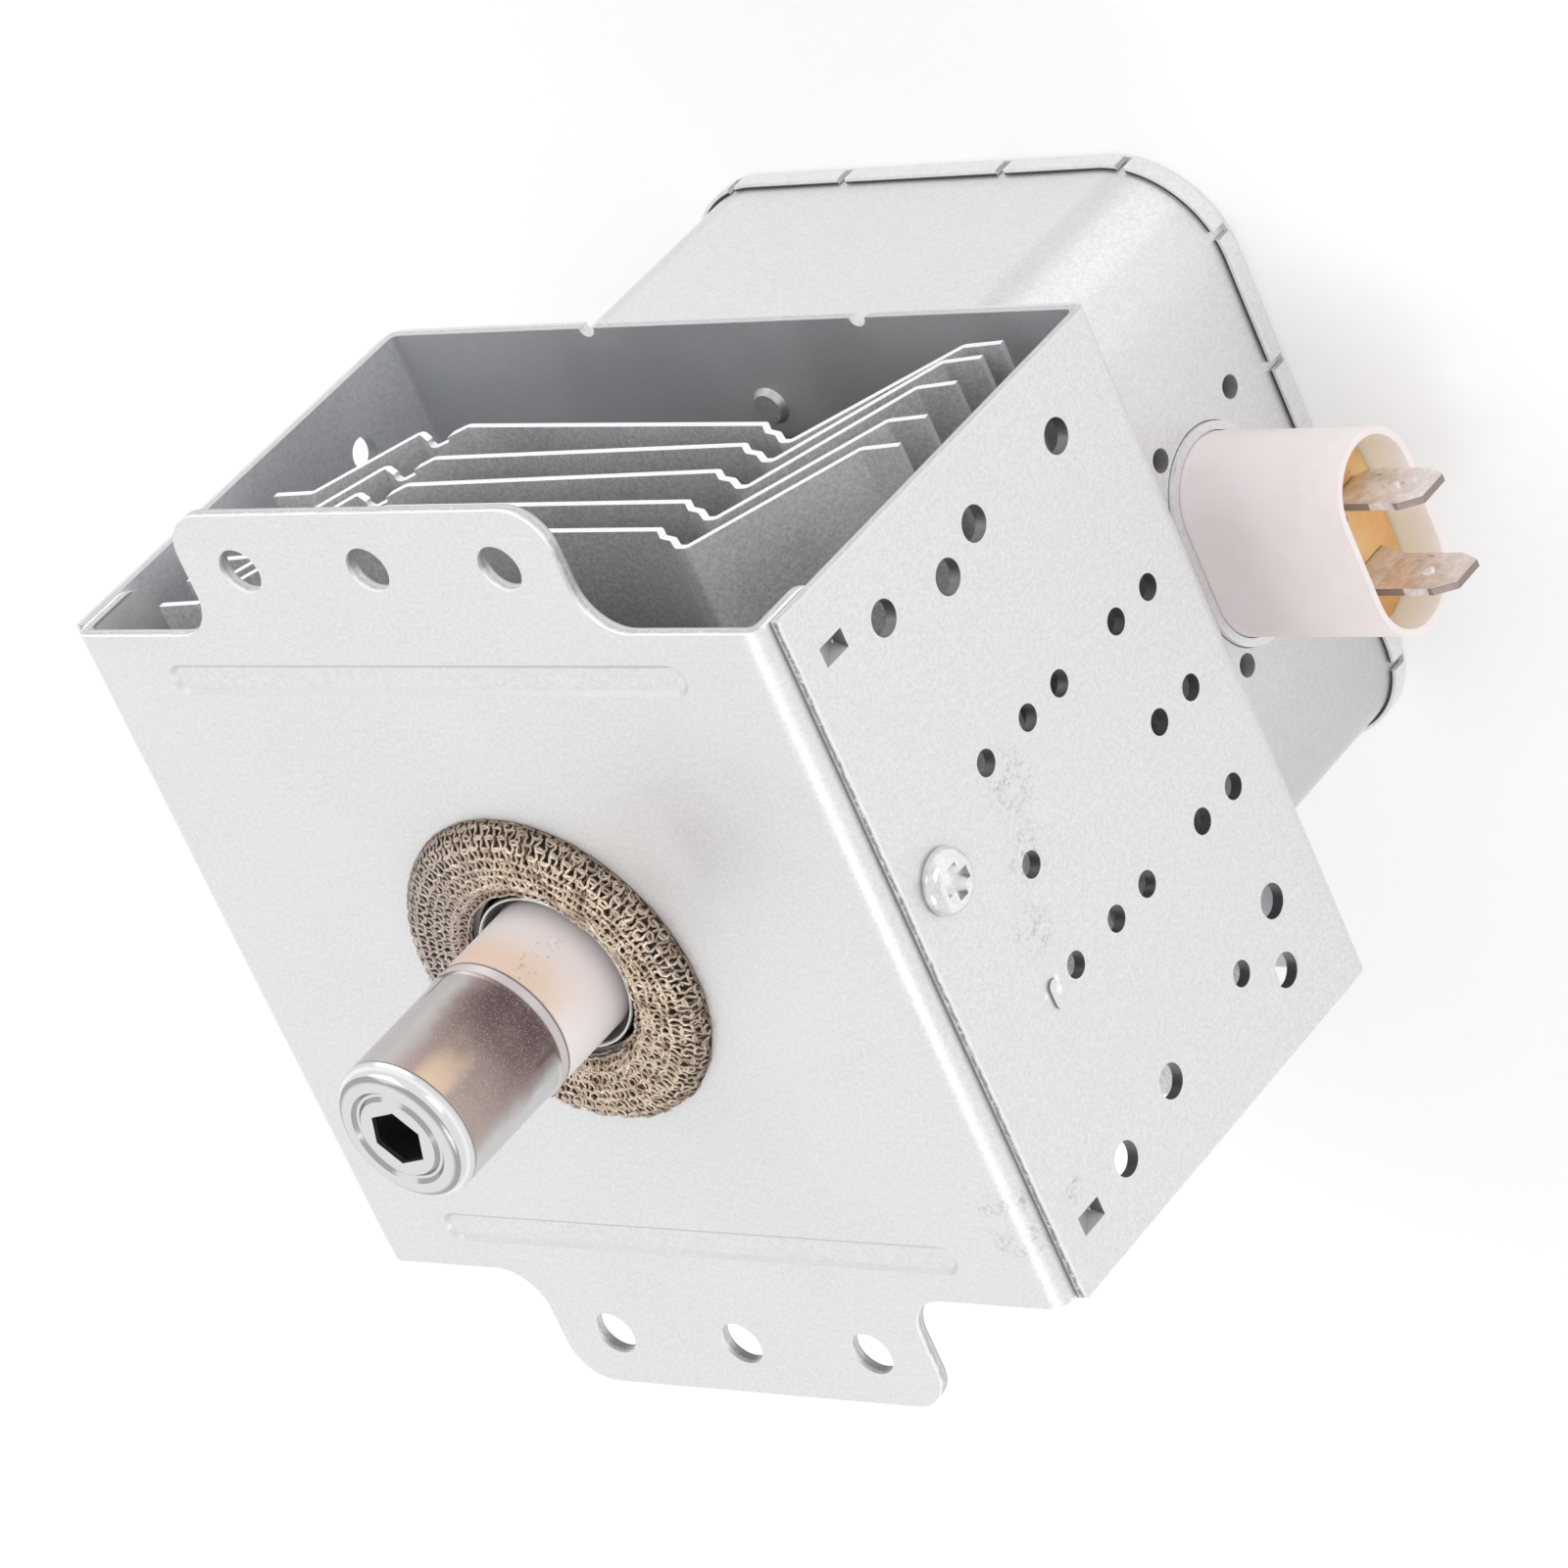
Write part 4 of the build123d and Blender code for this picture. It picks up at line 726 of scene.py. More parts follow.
@dataclass(frozen=True)
class AntennaCeramic(Finish):
    """Pale ceramic with a tan tint towards the cap."""

    name: str = "antenna_ceramic"
    pale: Colour = (0.99, 0.925, 0.925, 1.0)
    tan: Colour = (0.84, 0.60, 0.44, 1.0)
    smudge: Colour = (0.26, 0.21, 0.20, 1.0)
    foot_shade: Colour = (0.52, 0.46, 0.45, 1.0)
    tint_angle: float = 66.0
    mark_angle: float = 50.0
    radius: float = 7.88
    foot: float = -0.4
    top: float = 9.9
    grain_scale: float = 1500.0
    grain_depth: float = 0.006

    def paint(self, sheet: Shader) -> None:
        """Lay the tint, the darker foot and the patch of small marks.

        Args:
            sheet: The material under construction.
        """
        sizes = {"Radius": self.radius, "Foot": self.foot, "Top": self.top}
        place = sheet.group(sheet.effects.round, Angle=self.tint_angle, **sizes)
        near = sheet.group(sheet.effects.round, Angle=self.mark_angle, **sizes)["Facing"]
        facing, height = place["Facing"], place["Height"]
        wobble = sheet.times(sheet.minus(sheet.noise(180.0, 3.0, 0.5), 0.5), 0.6)
        side = sheet.span(sheet.plus(facing, wobble), 0.10, 0.95)
        patch = sheet.span(sheet.plus(near, sheet.times(wobble, 0.06)), 0.982, 1.0)
        patch = sheet.times(patch, sheet.span(height, 0.22, 0.45))
        fine = sheet.span(sheet.noise(2300.0, 4.0, 0.75), 0.54, 0.66)
        colour = sheet.layer(
            self.pale,
            (sheet.times(side, sheet.span(height, 0.30, 0.90), 0.80), self.tan),
            (sheet.times(sheet.span(height, 0.42, 0.10), sheet.span(facing, -0.5, 0.6), 0.12), self.foot_shade),
            (sheet.times(fine, sheet.most(patch, sheet.span(height, 0.96, 0.99)), 0.5), self.smudge),
        )
        sheet.set(Base_Color=colour, Roughness=0.42)


@dataclass(frozen=True)
class TinnedBlade(Finish):
    """Dull tin over brass, rubbed by the plug that slid on it."""

    name: str = "tinned_blade"
    tin: Colour = (0.90, 0.84, 0.81, 1.0)
    dull: Colour = (0.72, 0.64, 0.61, 1.0)
    dirt: Colour = (0.09, 0.06, 0.05, 1.0)
    brass: Colour = (0.66, 0.50, 0.30, 1.0)
    # painted shade of the edge faces
    edge: Colour = (0.24, 0.18, 0.16, 1.0)
    hole: float = 56.9
    hole_rim: tuple[float, float] = (1.3, 1.6)
    jog: tuple[float, float] = (49.0, 52.4)
    grain_scale: float = 1400.0
    grain_depth: float = 0.02

    def paint(self, sheet: Shader) -> None:
        """Lay the tin, the rubs, the painted shade on the edge faces and the brassy foot.

        Args:
            sheet: The material under construction.
        """
        along = sheet.axes()["X"]
        rubs = sheet.group(sheet.effects.rubs, Length=420.0, Width=1800.0)["Mask"]
        side = sheet.span(sheet.size(sheet.look()["Y"]), 0.6, 0.3)
        off = sheet.size(sheet.minus(along, self.hole * MM))
        clear = sheet.span(off, self.hole_rim[0] * MM, self.hole_rim[1] * MM)
        foot = sheet.span(along, self.jog[1] * MM, self.jog[0] * MM)
        colour = sheet.layer(
            sheet.mix(sheet.grain["Tone"], self.dull, self.tin),
            (sheet.times(rubs, 0.85), self.dirt),
            # painted shade on the blade's edge faces, kept off the hole's rim
            (sheet.times(side, clear, 0.85), self.edge),
            (sheet.times(foot, 0.45), self.brass),
        )
        sheet.set(Base_Color=colour, Metallic=0.7)
        sheet.roughen(0.34, 0.5, "Tone")


@dataclass(frozen=True)
class KnittedWire(Finish):
    """Drawn wire, from pale straw to brown, duller on the left and painted dark with shade low in the weave."""

    name: str = "knitted_wire"
    pale: Colour = (0.80, 0.68, 0.55, 1.0)
    brown: Colour = (0.40, 0.29, 0.225, 1.0)
    dull: Colour = (0.50, 0.44, 0.42, 1.0)
    deep: Colour = (0.16, 0.11, 0.085, 1.0)
    left: tuple[float, float] = (2.0, -13.0)
    # heights in millimetres where painted shade darkens the wire
    lower: tuple[float, float] = (1.8, 1.4)
    lowest: tuple[float, float] = (0.9, 0.3)
    grain_scale: float = 1200.0
    grain_depth: float = 0.0

    def paint(self, sheet: Shader) -> None:
        """Colour the wire by its place, with painted shade low down."""
        at = sheet.axes()
        ways = (("X", self.left, 0.7), ("Z", self.lower, 0.45), ("Z", self.lowest, 0.85))
        masks = [
            sheet.times(sheet.span(at[axis], start * MM, end * MM), strength) for axis, (start, end), strength in ways
        ]
        patch = sheet.span(sheet.noise(700.0, 3.0, 0.6), 0.30, 0.58)
        colour = sheet.mix(patch, self.brown, self.pale)
        # painted shade: the wire darkens low in the weave and at the foot
        colour = sheet.layer(colour, (masks[0], self.dull), (sheet.most(*masks[1:]), self.deep))
        sheet.set(Base_Color=colour, Metallic=0.7, Roughness=0.34)


@dataclass(frozen=True)
class ScrewHead(Finish):
    """Bright zinc on a screw, with a painted highlight in its cross recess, painted shade in the recess's corners and
    a painted shadow at its foot.
    """

    name: str = "screw_zinc"
    light: Colour = grey(0.86)
    dark: Colour = grey(0.74)
    floor: Colour = grey(0.97)
    corner: Colour = grey(0.34)
    foot: Colour = (0.30, 0.32, 0.35, 1.0)
    axis: tuple[float, float] = (6.2, -7.4)
    wall: float = 46.5
    face: float = 1.67
    recess: float = 1.95
    grain_scale: float = 2600.0
    grain_depth: float = 0.006

    def paint(self, sheet: Shader) -> None:
        """Colour the head, with the painted highlight in its recess and painted shade in its corners and at its foot.

        Args:
            sheet: The material under construction.
        """
        at = sheet.axes()
        proud = sheet.minus(sheet.over(sheet.size(at["X"]), MM), self.wall)
        ways = (sheet.minus(sheet.over(at[axis], MM), middle) for axis, middle in zip("YZ", self.axis))
        away = sheet.distance(*ways)
        sunk = sheet.times(sheet.below(away, self.recess), sheet.below(proud, self.face))
        steep = sheet.span(sheet.size(sheet.look()["X"]), 0.7, 0.5)
        colour = sheet.layer(
            sheet.mix(sheet.grain["Tone"], self.dark, self.light),
            # painted highlight in the recess
            (sunk, self.floor),
            # painted shade in the recess's corners
            (sheet.times(sunk, steep, sheet.span(away, 1.3, 1.7)), self.corner),
            # painted shadow where the head meets the wall
            (sheet.times(sheet.span(proud, 0.45, 0.1), 0.8), self.foot),
        )
        sheet.set(Base_Color=colour, Metallic=sheet.span(sunk, 0.0, 1.0, 0.92, 0.2))
        sheet.set(Roughness=sheet.span(sunk, 0.0, 1.0, 0.16, 0.5))


@dataclass(frozen=True)
class SealSteel(Finish):
    """Drawn steel, painted dark as the shade in the gap round it, with a painted highlight along its rounded rim."""

    name: str = "seal_steel"
    # dark is painted shade; bright is the rim's painted highlight
    dark: Colour = (0.115, 0.125, 0.12, 1.0)
    bright: Colour = (0.85, 0.87, 0.85, 1.0)
    rim: tuple[float, float] = (0.62, 0.82)
    grain_scale: float = 1800.0
    grain_depth: float = 0.006

    def paint(self, sheet: Shader) -> None:
        """Colour the steel with its painted shade and its rim with a painted highlight."""
        rim = sheet.span(sheet.over(sheet.axes()["Z"], MM), *self.rim)
        sheet.set(Base_Color=sheet.mix(rim, self.dark, self.bright), Metallic=0.85)
        sheet.roughen(0.22, 0.34, "Tone")


@dataclass(frozen=True)
class ShellPlastic(Finish):
    """Pale pink plastic, cream inside near the resin: partly the resin's colour through the shell, partly a painted
    glow of the light that passes through.
    """

    name: str = "pale_plastic"
    light: Colour = (0.995, 0.905, 0.895, 1.0)
    dark: Colour = (0.975, 0.87, 0.86, 1.0)
    cream_glow: Colour = (1.0, 0.90, 0.78, 1.0)
    scatter: tuple[float, float, float] = (1.0, 0.8, 0.62)
    middle: float = -74.6
    depth: tuple[float, float] = (49.0, 56.0)
    inward: float = -2.0
    grain_scale: float = 420.0
    grain_depth: float = 0.012

    def paint(self, sheet: Shader) -> None:
        """Colour the shell, and paint its inside a deeper cream glow.

        Args:
            sheet: The material under construction.
        """
        at, look = sheet.axes(), sheet.look()
        tall = sheet.times(sheet.minus(at["Z"], self.middle * MM), look["Z"])
        inner = sheet.span(sheet.plus(tall, sheet.times(at["Y"], look["Y"])), 0.0, self.inward * MM)
        deep = sheet.span(at["X"], self.depth[1] * MM, self.depth[0] * MM)
        colour = sheet.mix(sheet.grain["Tone"], self.dark, self.light)
        # painted glow on the inner faces near the resin
        sheet.set(Base_Color=sheet.mix(sheet.times(inner, deep), colour, self.cream_glow))
        sheet.set(Subsurface_Scale=3.0 * MM, Subsurface_Radius=self.scatter)
        sheet.set(Subsurface_Weight=sheet.span(inner, 0.0, 1.0, 0.1, 1.0))
        sheet.roughen(0.34, 0.44)


@dataclass(frozen=True)
class CastResin(Finish):
    """Orange casting resin with dark specks and a glossy skin."""

    name: str = "orange_resin"
    light: Colour = (1.0, 0.66, 0.32, 1.0)
    dark: Colour = (1.0, 0.54, 0.21, 1.0)
    speck: Colour = (0.22, 0.10, 0.05, 1.0)
    grain_scale: float = 300.0
    grain_depth: float = 0.12

    def paint(self, sheet: Shader) -> None:
        """Colour the resin and its specks."""
        dots = sheet.times(sheet.span(sheet.noise(1000.0, 1.0, 0.4), 0.70, 0.75), 0.8)
        colour = sheet.mix(sheet.grain["Tone"], self.dark, self.light)
        sheet.set(Base_Color=sheet.mix(dots, colour, self.speck), Coat_Weight=0.4)
        sheet.set(Subsurface_Weight=0.4, Subsurface_Scale=1.5 * MM)
        sheet.roughen(0.2, 0.3)


WALL_SCUFFS = (
    Scuff(8.1, -20.2, 5.0),
    Scuff(1.3, -18.7, 4.5),
    Scuff(-5.4, -15.3, 4.0),
    Scuff(-28.9, -6.2, 2.0),
    Scuff(-11.0, -15.5, 0.6, True),
    Scuff(-11.9, -15.1, 0.7, True),
    Scuff(-11.6, -13.4, 0.45, True),
)
BEND_SCUFFS = (Scuff(-31.0, -0.8, 2.6), Scuff(-26.5, -0.8, 2.0))


@dataclass(frozen=True)
class Palette:
    """Every finish of the object."""

    zinc: Finish = CoatedSheet("zinc_sheet")
    yoke: Finish = CoatedSheet(
        "zinc_yoke",
        grey(0.795, -0.002),
        grey(0.685, -0.003),
        torn_and_seam_shade=grey(0.18),
        hollow_shade=grey(0.22),
        cut=Cut.YOKE,
        scuffs=WALL_SCUFFS,
    )
    plate: Finish = CoatedSheet(
        "zinc_plate",
        grey(0.865, -0.002),
        grey(0.755, -0.003),
        torn_and_seam_shade=grey(0.50),
        shade=grey(0.67),
        cut=Cut.PLATE,
        metallic=0.62,
        scuffs=BEND_SCUFFS,
    )
    case: Finish = CoatedSheet(
        "zinc_case", grey(0.84, -0.002), grey(0.73, -0.003), shade=grey(0.58), pale=grey(0.97), cut=Cut.CASE
    )
    lid: Finish = CoatedSheet("zinc_lid", hollow_shade=grey(0.06), cut=Cut.LID)
    fin: Finish = CoatedSheet(
        "fin_aluminium", grey(0.90, -0.005), grey(0.62, -0.005), grey(0.97), cut=Cut.FIN, grain_depth=0.010
    )
    rivet: Finish = PlainFinish("rivet_steel", grey(0.66), grey(0.54), 0.42, 0.8)
    screw: Finish = ScrewHead()
    seal: Finish = SealSteel()
    iron: Finish = PlainFinish("plain_iron", grey(0.36), grey(0.28), 0.5, 0.85)
    ferrite: Finish = PlainFinish("ferrite", grey(0.05), grey(0.02), 0.6)
    copper: Finish = PlainFinish("copper", (0.72, 0.34, 0.20, 1.0), (0.55, 0.24, 0.14, 1.0), 0.35, 0.95)
    soot: Finish = PlainFinish("burnt_copper", (0.06, 0.04, 0.03, 1.0), (0.03, 0.02, 0.015, 1.0), 0.6, 0.5)
    tungsten: Finish = PlainFinish("tungsten", grey(0.30), grey(0.22), 0.4, 0.9)
    ceramic: Finish = PlainFinish("white_ceramic", (0.86, 0.80, 0.79, 1.0), (0.80, 0.73, 0.72, 1.0), 0.5)
    plastic: Finish = ShellPlastic()
    resin: Finish = CastResin()
    # a dark body in place of the shade inside the weave
    core: Finish = PlainFinish("gasket_shade_core", (0.05, 0.04, 0.035, 1.0), (0.02, 0.016, 0.014, 1.0), 0.8)
    wire: Finish = KnittedWire()
    cap: Finish = HeatTintedSteel()
    antenna_ceramic: Finish = AntennaCeramic()
    blade: Finish = TinnedBlade()


PALETTE = Palette()


class Workshop:
    """Holds the frame and the finishes, and dresses nodes and pieces with them."""

    def __init__(self, frame: dict) -> None:
        self.nodes: dict[str, bpy.types.Object] = frame["nodes"]
        self.effects = Effects()
        self._made: dict[str, bpy.types.Material] = {}

    def material(self, finish: Finish) -> bpy.types.Material:
        """Give a finish's material, made at its first use."""
        if finish.name not in self._made:
            self._made[finish.name] = finish.build(self.effects)
        return self._made[finish.name]

    def dress(self, finish: Finish, *names: str) -> None:
        """Give CAD nodes a finish."""
        for name in names:
            for slot in self.nodes[name].material_slots:
                slot.material = self.material(finish)
        LOG.info("dressed %s as %s", ", ".join(names), finish.name)

    def fit(self, piece: bpy.types.Object, finish: Finish) -> None:
        """Finish a new piece and let it ride on the object.

        Args:
            piece: The piece.
            finish: Its finish.
        """
        piece.data.materials.clear()
        piece.data.materials.append(self.material(finish))
        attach(piece, "root")
        LOG.info("added %s", piece.name)


class Bench:
    """Shared modelling moves, mostly with Blender's own operators."""

    SMOOTH_ANGLE = math.radians(35)

    @staticmethod
    def link(name: str, data: bpy.types.ID) -> bpy.types.Object:
        """Put a new object with its mesh, curve, lamp or camera into the scene."""
        piece = bpy.data.objects.new(name, data)
        bpy.context.collection.objects.link(piece)
        return piece

    @staticmethod
    def pick(piece: bpy.types.Object) -> None:
        """Select one object and make it active."""
        bpy.ops.object.select_all(action="DESELECT")
        piece.select_set(True)
        bpy.context.view_layer.objects.active = piece

    @classmethod
    def settle(cls, piece: bpy.types.Object, name: str) -> bpy.types.Object:
        """Apply a piece's place to its mesh, name it and smooth its faces."""
        cls.pick(piece)
        bpy.ops.object.transform_apply(location=True, rotation=True, scale=True)
        bpy.ops.object.shade_smooth_by_angle(angle=cls.SMOOTH_ANGLE)
        piece.name = name
        return piece


class Assembly:
    """A sub-assembly whose CAD nodes are shown as they are, each with its finish."""

    dressing: tuple[tuple[Finish, tuple[str, ...]], ...] = ()

    def build(self, shop: Workshop) -> None:
        """Dress the nodes."""
        for finish, names in self.dressing:
            shop.dress(finish, *names)


class Yoke(Assembly):
    """The folded steel frame, its mounting plate, screws and rivets."""

    dressing = (
        (PALETTE.yoke, ("yoke_frame",)),
        (PALETTE.plate, ("front_plate",)),
        (PALETTE.screw, ("yoke_screws",)),
        (PALETTE.rivet, ("case_rivets",)),
    )


class FinStack(Assembly):
    """The bent cooling fins round the anode, and what they cool."""

    dressing = (
        (PALETTE.fin, ("fin_1", "fin_2", "fin_3", "fin_4", "fin_5")),
        (PALETTE.copper, ("anode_block", "strap_ring_1", "strap_ring_2", "strap_ring_3", "strap_ring_4")),
        (PALETTE.ferrite, ("front_magnet", "rear_magnet")),
        (PALETTE.iron, ("front_pole_piece", "rear_pole_piece")),
        (PALETTE.tungsten, ("filament", "front_end_hat", "rear_end_hat", "centre_lead", "side_lead")),
    )


class Antenna(Assembly):
    """The cap, its ceramic and the seals below them."""

    dressing = (
        (PALETTE.cap, ("antenna_cap",)),
        (PALETTE.antenna_ceramic, ("antenna_ceramic",)),
        (PALETTE.seal, ("antenna_seal", "stem_seal", "antenna_top_seal")),
        (PALETTE.soot, ("exhaust_tube", "antenna_lead")),
    )


class FilterBox(Assembly):
    """The drawn case with its slit lid, the chokes and the stem inside."""

    dressing = (
        (PALETTE.case, ("filter_case",)),
        (PALETTE.zinc, ("capacitor_plate",)),
        (PALETTE.lid, ("filter_lid",)),
        (PALETTE.copper, ("choke_coil_1", "choke_coil_2", "stem_terminal_1", "stem_terminal_2")),
        (PALETTE.ferrite, ("choke_core_1", "choke_core_2")),
        (PALETTE.ceramic, ("stem_ceramic", "capacitor_element")),
    )


class FeedThrough(Assembly):
    """The capacitor's housing, its resin and the two blades."""

    dressing = (
        (PALETTE.plastic, ("capacitor_housing", "capacitor_inner_housing")),
        (PALETTE.resin, ("capacitor_fill", "capacitor_inner_fill")),
        (PALETTE.blade, ("terminal_upper", "terminal_lower")),
    )


@dataclass(frozen=True)
class Layer:
    """One layer of knitted rows in the gasket."""

    rows: int
    stitches: int
    sink: float
    seed: int


@dataclass(frozen=True)
class KnittedGasket:
    """The wire ring: crumpled layers of knitted loops over a dark core that stands in for the shade deep in the
    weave.
    """

    bore: float = 9.7
    rim: float = 17.85
    height: float = 2.2
    foot_gap: float = 0.3
    shoulder: float = 3.1
    crown: float = 3.5
    crown_gap: float = 0.2
    lip_drop: float = 0.3
    bore_gap: float = 0.1
    bore_round: float = 1.15
    crown_shares: tuple[float, float] = (0.44, 0.82)
    wire: float = 0.165
    loop: float = 0.68
    profile_length: float = 9.4
    sway: float = 0.28
    heave: float = 0.25
    arch: float = 0.13
    crumple: float = 0.26
    crumple_wave: float = 1.6
    crumple_drift: float = 0.7
    crumple_lift: float = 0.4
    crumple_swell: float = 0.6
    swell_turn: float = 0.6
    crumple_seed: int = 11
    steps: int = 9
    layers: tuple[Layer, ...] = (Layer(9, 68, 0.0, 5), Layer(8, 58, 0.55, 23))
    core_steps: int = 24
    core_turns: int = 96
    core_inset: float = 0.55
    core_foot: float = 0.2
    core_floor: float = 0.02

    def profile(self, share: float) -> tuple[float, float]:
        """Follow the ring's outside from its outer foot to its bore.

        Args:
            share: The way along the profile, from 0 to 1.

        Returns:
            Radius and height in millimetres.
        """
        top = self.height - self.crown_gap
        start, end = self.crown_shares
        foot = self.rim - self.foot_gap
        if share < start:
            turn = share / start * math.pi / 2
            return foot - self.shoulder * (1 - math.cos(turn)), top * math.sin(turn)
        if share < end:
            return foot - self.shoulder - (share - start) / (end - start) * self.crown, top
        turn = (share - end) / (1 - end) * math.pi / 2
        level = top * (1 - self.lip_drop * math.sin(turn))
        return self.bore + self.bore_gap + self.bore_round * math.cos(turn), level

    def row(self, layer: Layer, number: int, chance: random.Random) -> list[tuple[float, float, float]]:
        """Lay the wire of one row of loops.

        Args:
            layer: The row's layer.
            number: The row, from the outer foot inwards.
            chance: The source of its unevenness.

        Returns:
            The wire's points in metres.
        """
        points = []
        middle = (number + 0.5) / layer.rows
        shift = chance.uniform(0.0, 1.0)
        reach = self.loop / self.profile_length
        heave = [chance.uniform(1 - self.heave, 1 + self.heave) for _ in range(layer.stitches)]
        for index in range(layer.stitches * self.steps):
            phase = index / self.steps * math.tau
            tall = heave[index // self.steps]
            radius, level = self.profile(min(max(middle - math.cos(phase) * reach * tall, 0.0), 1.0))
            angle = (index / self.steps + shift) / layer.stitches * math.tau
            angle += math.sin(2 * phase) * self.sway * tall / radius
            spot = Vector((radius * math.cos(angle), radius * math.sin(angle), level - layer.sink))
            spot.z += self.arch * math.cos(2 * phase)
            drift = Vector((layer.seed, 0, number * self.crumple_drift))
            warp = noise.noise_vector(spot / self.crumple_wave + drift)
            swell = 1.0 + self.crumple_swell * math.cos(angle + self.swell_turn)
            spot += Vector((warp.x, warp.y, warp.z * self.crumple_lift)) * (self.crumple * swell)
            spot.z = max(spot.z, self.wire)
            spot.xy *= min(1.0, (self.rim - self.wire) / spot.xy.length)
            points.append(tuple(spot * MM))
        return points

    def knit(self) -> bpy.types.Object:
        """Make all rows as one mesh of fine tube.

        Returns:
            The wire mesh.
        """
        curve = bpy.data.curves.new("knitted_wire", "CURVE")
        curve.dimensions = "3D"
        curve.bevel_depth = self.wire * MM
        curve.bevel_resolution = 1
        curve.resolution_u = 1
        noise.seed_set(self.crumple_seed)
        for layer in self.layers:
            chance = random.Random(layer.seed)
            for number in range(layer.rows):
                points = self.row(layer, number, chance)
                spline = curve.splines.new("POLY")
                spline.points.add(len(points) - 1)
                for point, place in zip(spline.points, points):
                    point.co = (*place, 1.0)
                spline.use_cyclic_u = True
        Bench.pick(Bench.link("knitted_wire", curve))
        bpy.ops.object.convert(target="MESH")
        knit = Bench.settle(bpy.context.object, "gasket_knit")
        bpy.ops.object.shade_smooth()
        return knit

    def body(self) -> bpy.types.Object:
        """Make the dark core, which stands in for the shade deep in the weave, by spinning the profile, drawn in a
        little.

        Returns:
            The core's mesh.
        """
        bore, rim, foot = self.bore + self.core_inset, self.rim - self.core_inset, self.rim - self.core_foot
        section = []
        for step in range(self.core_steps + 1):
            radius, level = self.profile(step / self.core_steps)
            section.append((max(min(radius, rim), bore), max(level - self.core_inset, self.core_foot)))
        section += [(bore, self.core_floor), (foot, self.core_floor), (foot, self.core_foot)]
        count = len(section)
        places = [(radius * MM, 0.0, level * MM) for radius, level in section]
        mesh = bpy.data.meshes.new("gasket_shade_core")
        mesh.from_pydata(places, [(corner, (corner + 1) % count) for corner in range(count)], [])
        piece = Bench.link("gasket_shade_core", mesh)
        Bench.pick(piece)
        bpy.ops.object.mode_set(mode="EDIT")
        bpy.ops.mesh.select_all(action="SELECT")
        bpy.ops.mesh.spin(steps=self.core_turns, angle=math.tau, center=(0, 0, 0), axis=(0, 0, 1))
        bpy.ops.mesh.select_all(action="SELECT")
        bpy.ops.mesh.remove_doubles(threshold=0.01 * MM)
        bpy.ops.mesh.normals_make_consistent(inside=False)
        bpy.ops.object.mode_set(mode="OBJECT")
        return Bench.settle(piece, "gasket_shade_core")

    def build(self, shop: Workshop) -> None:
        """Make and dress the ring, in place of its CAD node.

        Args:
            shop: The frame and finishes.
        """
        knit, core = self.knit(), self.body()
        shop.fit(knit, PALETTE.wire)
        shop.fit(core, PALETTE.core)
        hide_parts("gasket")


@dataclass(frozen=True)
class Lamp:
    """A soft lamp: its place and size in millimetres, and its power in watts."""

    name: str
    place: tuple[float, float, float]
    size: float
    power: float


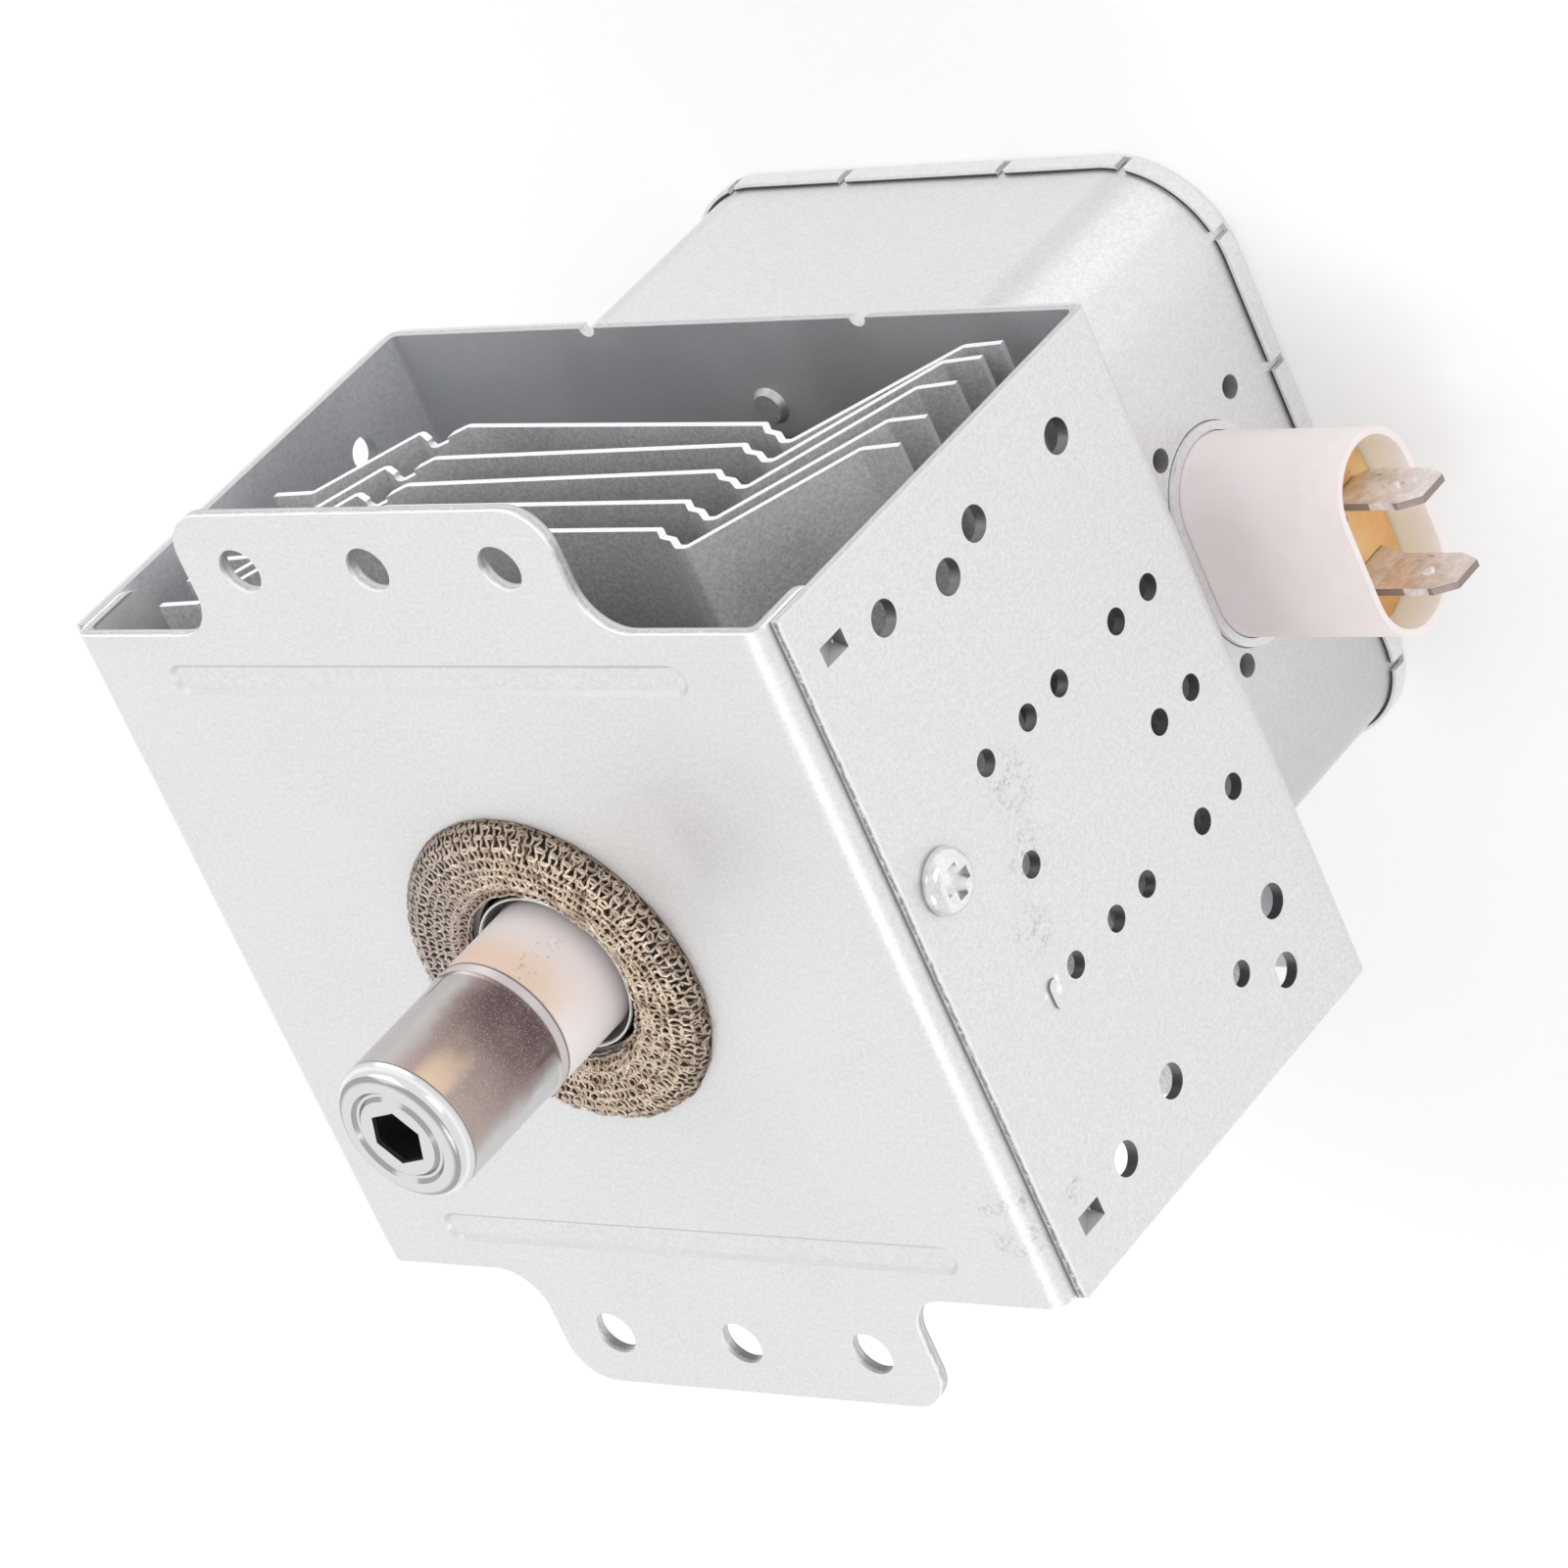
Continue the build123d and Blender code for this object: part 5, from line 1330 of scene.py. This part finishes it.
@dataclass(frozen=True)
class Studio:
    """Floor, backdrop, lamps and camera. The camera is where the photograph was taken from."""

    camera_place: tuple[float, float, float] = (493.3, 322.5, 414.5)
    camera_right: tuple[float, float, float] = (0.74861946, -0.37616066, -0.54595976)
    camera_down: tuple[float, float, float] = (0.01160929, -0.8159053, 0.578069)
    camera_ahead: tuple[float, float, float] = (-0.66289828, -0.43909191, -0.60643563)
    focal_pixels: float = 7595.7
    image_pixels: float = 1600.0
    sensor: float = 36.0
    floor_size: float = 3.0
    floor_glow: float = 0.16
    world_level: float = 0.90
    lamps_aim: tuple[float, float, float] = (0, 0, -30)
    lamps: tuple[Lamp, ...] = (
        Lamp("key", (-500, 900, 900), 900, 2.6),
        Lamp("strip", (300, -480, 1000), 450, 1.0),
        Lamp("fill", (1000, 550, 260), 500, 1.1),
    )

    def shoot(self) -> None:
        """Put up the camera."""
        data = bpy.data.cameras.new("camera")
        data.sensor_width = self.sensor
        data.lens = self.focal_pixels / self.image_pixels * self.sensor
        camera = Bench.link("camera", data)
        right, down, ahead = Vector(self.camera_right), Vector(self.camera_down), Vector(self.camera_ahead)
        turn = Matrix((right, -down, -ahead)).transposed().to_4x4()
        camera.matrix_world = Matrix.Translation(Vector(self.camera_place) * MM) @ turn
        bpy.context.scene.camera = camera

    def lay_floor(self, level: float) -> None:
        """Lay a pale floor under the object, a little brighter to the eye than in its light.

        Args:
            level: The floor's height in metres.
        """
        bpy.ops.object.select_all(action="DESELECT")
        bpy.ops.mesh.primitive_plane_add(size=self.floor_size, location=(0, 0, level))
        floor = Bench.settle(bpy.context.object, "floor")
        material = bpy.data.materials.new("floor")
        material.use_nodes = True
        sheet = Sheet(material.node_tree)
        path = sheet.add("ShaderNodeLightPath").outputs
        seen = sheet.most(path["Is Camera Ray"], path["Is Glossy Ray"])
        looks = {"Base Color": grey(0.9), "Roughness": 0.9, "Emission Color": seen}
        looks["Emission Strength"] = self.floor_glow
        for name, value in looks.items():
            sheet.feed(material.node_tree.nodes["Principled BSDF"].inputs[name], value)
        floor.data.materials.append(material)
        floor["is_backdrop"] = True

    def light_world(self) -> None:
        """Light the room evenly, white where the camera looks."""
        world = bpy.data.worlds.new("room")
        bpy.context.scene.world = world
        world.use_nodes = True
        sheet = Sheet(world.node_tree)
        seen = sheet.add("ShaderNodeLightPath").outputs["Is Camera Ray"]
        background = world.node_tree.nodes["Background"]
        background.inputs["Color"].default_value = grey(1.0)
        sheet.feed(background.inputs["Strength"], sheet.span(seen, 0.0, 1.0, self.world_level, 1.0))

    def hang_lamps(self) -> None:
        """Hang the soft lamps."""
        for lamp in self.lamps:
            data = bpy.data.lights.new(lamp.name, "AREA")
            data.size = lamp.size * MM
            data.energy = lamp.power
            spot = Vector(lamp.place) * MM
            aim = (Vector(self.lamps_aim) * MM - spot).to_track_quat("-Z", "Y")
            Bench.link(lamp.name, data).matrix_world = Matrix.Translation(spot) @ aim.to_matrix().to_4x4()

    def build(self, level: float) -> None:
        """Set up the whole studio.

        Args:
            level: The floor's height in metres.
        """
        self.lay_floor(level)
        self.light_world()
        self.hang_lamps()
        self.shoot()
        bpy.context.scene.view_settings.view_transform = "Standard"
        LOG.info("studio ready")


def main() -> None:
    """Load the frame, dress it, add the pieces and set the scene."""
    logging.basicConfig(level=logging.INFO, format="%(name)s: %(message)s")
    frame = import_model()
    cad_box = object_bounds()
    shop = Workshop(frame)
    for assembly in (Yoke(), FinStack(), Antenna(), KnittedGasket(), FilterBox(), FeedThrough()):
        assembly.build(shop)
    Studio().build(cad_box[0][2])


if __name__ == "__main__":
    main()
